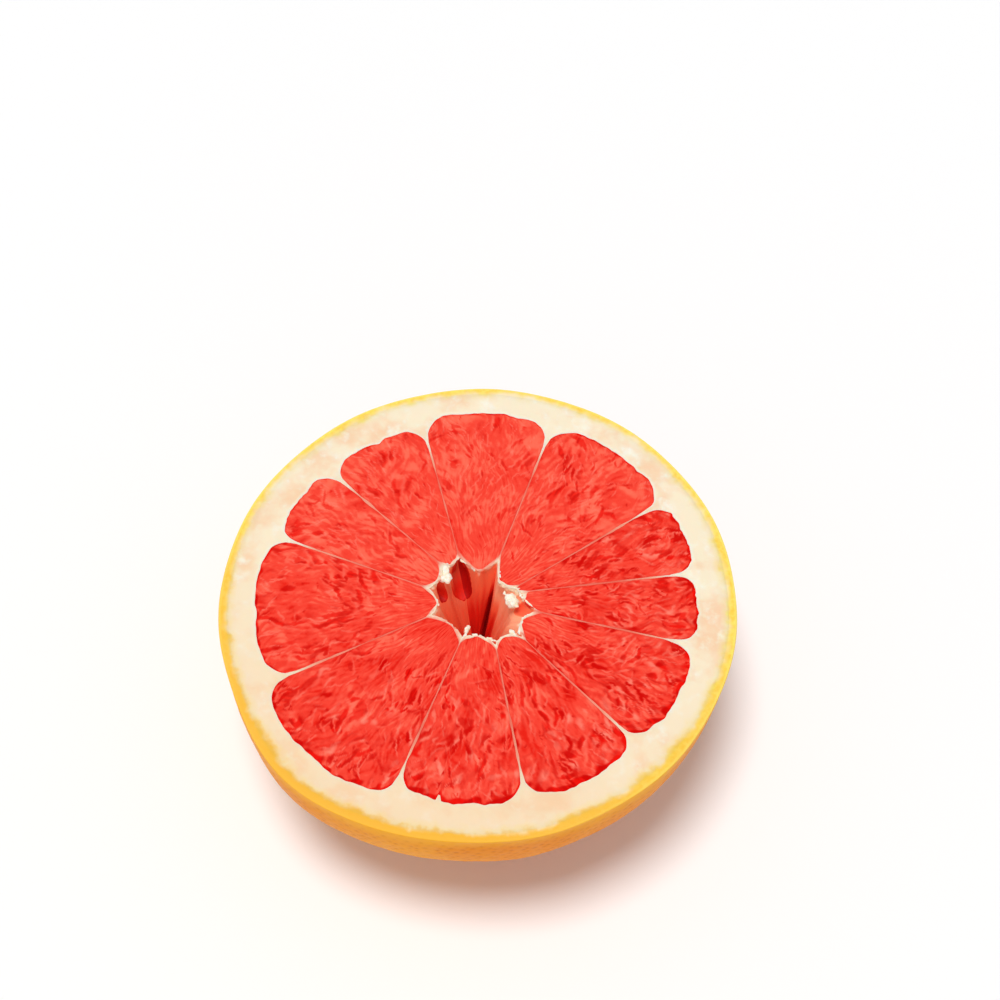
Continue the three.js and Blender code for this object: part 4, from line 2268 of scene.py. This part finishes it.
@dataclass(frozen=True)
class PeelFinish:
    """Waxy orange-yellow skin with darker pores and a soft blush, and its cut edge."""

    gold: Colour = colour(248, 162, 22)
    amber: Colour = colour(242, 142, 16)
    # The paler gold towards the cut edge is a painted highlight.
    rim: Colour = colour(255, 184, 48)
    rim_share: float = 0.6
    rim_heights: Pair = (0.043, 0.0475)
    blush: Colour = colour(230, 92, 16)
    blush_share: float = 0.75
    blush_lean: Pair = (9.0, 14.0)
    blush_start: float = 0.95
    pore: Colour = colour(200, 84, 8)
    pore_share: float = 0.4
    scar: Colour = colour(120, 78, 36)
    scar_radii: Pair = (0.0026, 0.0016)
    roughness: float = 0.46
    soft: Softness = Softness(0.1, (1.0, 0.5, 0.15), 0.001)

    def skin(self, sheet: Sheet, place: Socket, small: Socket) -> Socket:
        """The skin's own colour.

        Args:
            sheet: the material's sheet.
            place: the place in the object's own metres.
            small: small noise.

        Returns:
            The colour's socket.
        """
        wide = sheet.noise(place, 18.0, 3.0)
        x, y, z = sheet.apart(place)
        by_x, by_y = self.blush_lean
        side = sheet.plus(x, by_x, sheet.times(y, by_y))
        reach = sheet.plus(wide, 1.6, sheet.maths("SUBTRACT", side, self.blush_start))
        reach = sheet.plus(small, 0.4, sheet.maths("SUBTRACT", reach, 0.2))
        blush = sheet.times(sheet.ramp(reach, 0.0, 1.0), self.blush_share)
        # The skin just below the cut is painted paler, as a highlight.
        rim = sheet.times(sheet.ramp(z, *self.rim_heights), self.rim_share)
        dot = sheet.times(sheet.layer("pore"), sheet.layer("pore_strength"))
        dot = sheet.maths("MULTIPLY", dot, self.pore_share, clamp=True)
        square = sheet.maths("ADD", sheet.times(x, x), sheet.times(y, y))
        middle = sheet.maths("SUBTRACT", sheet.maths("POWER", square, 0.5), 0.0006)
        scar = sheet.ramp(sheet.plus(small, 0.0012, middle), *self.scar_radii)
        scar = sheet.times(scar, sheet.ramp(z, 0.003, 0.001))
        skin = sheet.mix(sheet.ramp(wide, 0.38, 0.62), self.gold, self.amber)
        for share, shade in ((blush, self.blush), (rim, self.rim), (dot, self.pore)):
            skin = sheet.mix(share, skin, shade)
        return sheet.mix(scar, skin, self.scar)

    def material(self, cut_rind: NodeTree) -> Material:
        """Builds the material.

        Args:
            cut_rind: the group that colours the cut edge.

        Returns:
            The material.
        """
        made, sheet = new_material("peel")
        place = sheet.place()
        small = sheet.noise(place, 160.0, 3.0)
        skin = self.skin(sheet, place, small)
        depth = sheet.layer("from_skin")
        cut = sheet.group(cut_rind, Place=place, From_Skin=depth).outputs["Color"]
        on_cut = sheet.ramp(depth, 0.0, 0.12)
        rough = sheet.plus(small, 0.2, self.roughness - 0.1)
        grain = sheet.noise(place, 1500.0, 3.0)
        sheet.finish(
            self.soft,
            Base_Color=sheet.mix(on_cut, skin, cut),
            Roughness=sheet.plus(on_cut, 0.2, rough),
            Specular_IOR_Level=0.06,
            Normal=sheet.bump(grain, 0.00005, 0.5),
        )
        return made


@dataclass(frozen=True)
class FibreFinish:
    """Moist white and cream fibres."""

    white: Colour = colour(255, 247, 230)
    cream: Colour = colour(255, 232, 196)
    blotch: float = 0.0012
    roughness: float = 0.45
    soft: Softness = Softness(0.3, (1.0, 0.7, 0.5), 0.001)

    def material(self, mottle: NodeTree) -> Material:
        """Builds the material.

        Args:
            mottle: the group that blotches a colour.

        Returns:
            The material.
        """
        made, sheet = new_material("fibres")
        body = sheet.group(
            mottle, Place=sheet.place(), Size=self.blotch,
            Base=self.white, Warm=self.cream, Pale=self.white,
        )
        sheet.finish(
            self.soft,
            Base_Color=body.outputs["Color"],
            Roughness=self.roughness,
            Normal=sheet.bump(body.outputs["Grain"], 0.00005, 0.6),
        )
        return made


# -------- studio


@dataclass
class Studio:
    """Pale floor, soft light and the camera.

    The distance runs from the middle of the cut face, which is seen at face_pixel.
    """

    distance: float = 440.0
    off_normal: float = 29.18
    roll: float = 1.75
    focal_pixels: float = 2072.0
    picture: float = 1000.0
    face_pixel: Pair = (478.9, 600.5)
    sensor: float = 36.0
    horizon: float = 1.0
    zenith: float = 0.3
    haze: Pair = (0.14, 0.42)
    lamp_place: Triple = (-0.12, -0.1, 1.1)
    lamp_width: float = 18.0
    lamp_strength: float = 2.2
    floor_greys: Pair = (0.93, 0.95)
    floor_lift: float = 0.02

    def floor(self) -> None:
        """The floor that the fruit rests on."""
        made, sheet = new_material("floor")
        tint = sheet.noise(sheet.place(), 3.0, 2.0)
        dark, light = ((grey, grey, grey, 1.0) for grey in self.floor_greys)
        sheet.finish(
            Base_Color=sheet.mix(tint, dark, light),
            Roughness=0.7,
            Emission_Color=WHITE,
            Emission_Strength=self.floor_lift,
        )
        work = bmesh.new()
        bmesh.ops.create_grid(work, x_segments=8, y_segments=8, size=3.0)
        floor = to_piece(to_mesh(work, "floor"), "floor", made)

    def lights(self) -> None:
        """The soft light and the white surround."""
        world = bpy.data.worlds.new("surround")
        world.use_nodes = True
        sheet = Sheet(world.node_tree)
        back = sheet.node("ShaderNodeBackground")
        sheet.feed(back.inputs["Color"], WHITE)
        sheet.feed(sheet.node("ShaderNodeOutputWorld").inputs["Surface"], back.outputs[0])
        where = sheet.node("ShaderNodeTexCoord").outputs["Generated"]
        low, high = self.haze
        glow = sheet.ramp(sheet.apart(where)[2], high, low)
        glow = sheet.plus(glow, self.horizon - self.zenith, self.zenith)
        sheet.feed(back.inputs["Strength"], glow)
        bpy.context.scene.world = world
        data = bpy.data.lights.new("key", "SUN")
        data.angle = math.radians(self.lamp_width)
        data.energy = self.lamp_strength
        light = bpy.data.objects.new("key", data)
        light.location = self.lamp_place
        aim = Vector((0, 0, 0.03)) - Vector(self.lamp_place)
        light.rotation_euler = aim.to_track_quat("-Z", "Y").to_euler()
        bpy.context.scene.collection.objects.link(light)

    def camera(self) -> None:
        """The camera, turned so that the cut face's middle is seen at its pixel."""
        away = math.radians(self.off_normal)
        forward = Vector((0, math.sin(away), -math.cos(away)))
        right, up = Vector((1, 0, 0)), Vector((1, 0, 0)).cross(forward)
        tilt = Matrix.Rotation(math.radians(-self.roll), 3, forward)
        right, up = tilt @ right, tilt @ up
        off = [pixel - self.picture / 2 for pixel in self.face_pixel]
        seen = Vector((off[0] / self.focal_pixels, -off[1] / self.focal_pixels, 1))
        swing = Vector((0, 0, 1)).rotation_difference(seen.normalized()).to_matrix()
        rows = swing @ Matrix((right, up, forward))
        data = bpy.data.cameras.new("camera")
        data.sensor_width = self.sensor
        data.lens = self.focal_pixels / self.picture * self.sensor
        data.clip_start, data.clip_end = 0.01, 20.0
        camera = bpy.data.objects.new("camera", data)
        turned = Matrix((rows[0], rows[1], -rows[2])).transposed()
        middle = Vector((0, 0, PLAN.face * MM))
        place = middle - forward * (self.distance * MM)
        camera.matrix_world = Matrix.Translation(place) @ turned.to_4x4()
        bpy.context.scene.collection.objects.link(camera)
        bpy.context.scene.camera = camera

    def build(self) -> None:
        """Sets up everything round the fruit."""
        bpy.context.scene.view_settings.view_transform = "Standard"
        self.floor()
        self.lights()
        self.camera()


# -------- all of it


def main() -> None:
    """Builds the pomelo half."""
    logging.basicConfig(level=logging.INFO, format="%(name)s: %(message)s")
    mottle = mottle_group()
    cut_rind = CutRind().group(mottle)
    pieces = [
        Peel().build(PeelFinish().material(cut_rind)),
        Pith().build(PithFinish().material(cut_rind, mottle)),
    ]
    pulp = PulpFinish().material()
    pieces += [PulpSegment(index).build(pulp) for index in range(len(PLAN.septa))]
    pieces.append(CoreFibres().build(FibreFinish().material(mottle)))
    for piece in pieces:
        LOG.info("%s: %d triangles", piece.name, triangles(piece.data))
    LOG.info("total: %d triangles", sum(triangles(piece.data) for piece in pieces))
    Studio().build()


if __name__ == "__main__":
    main()
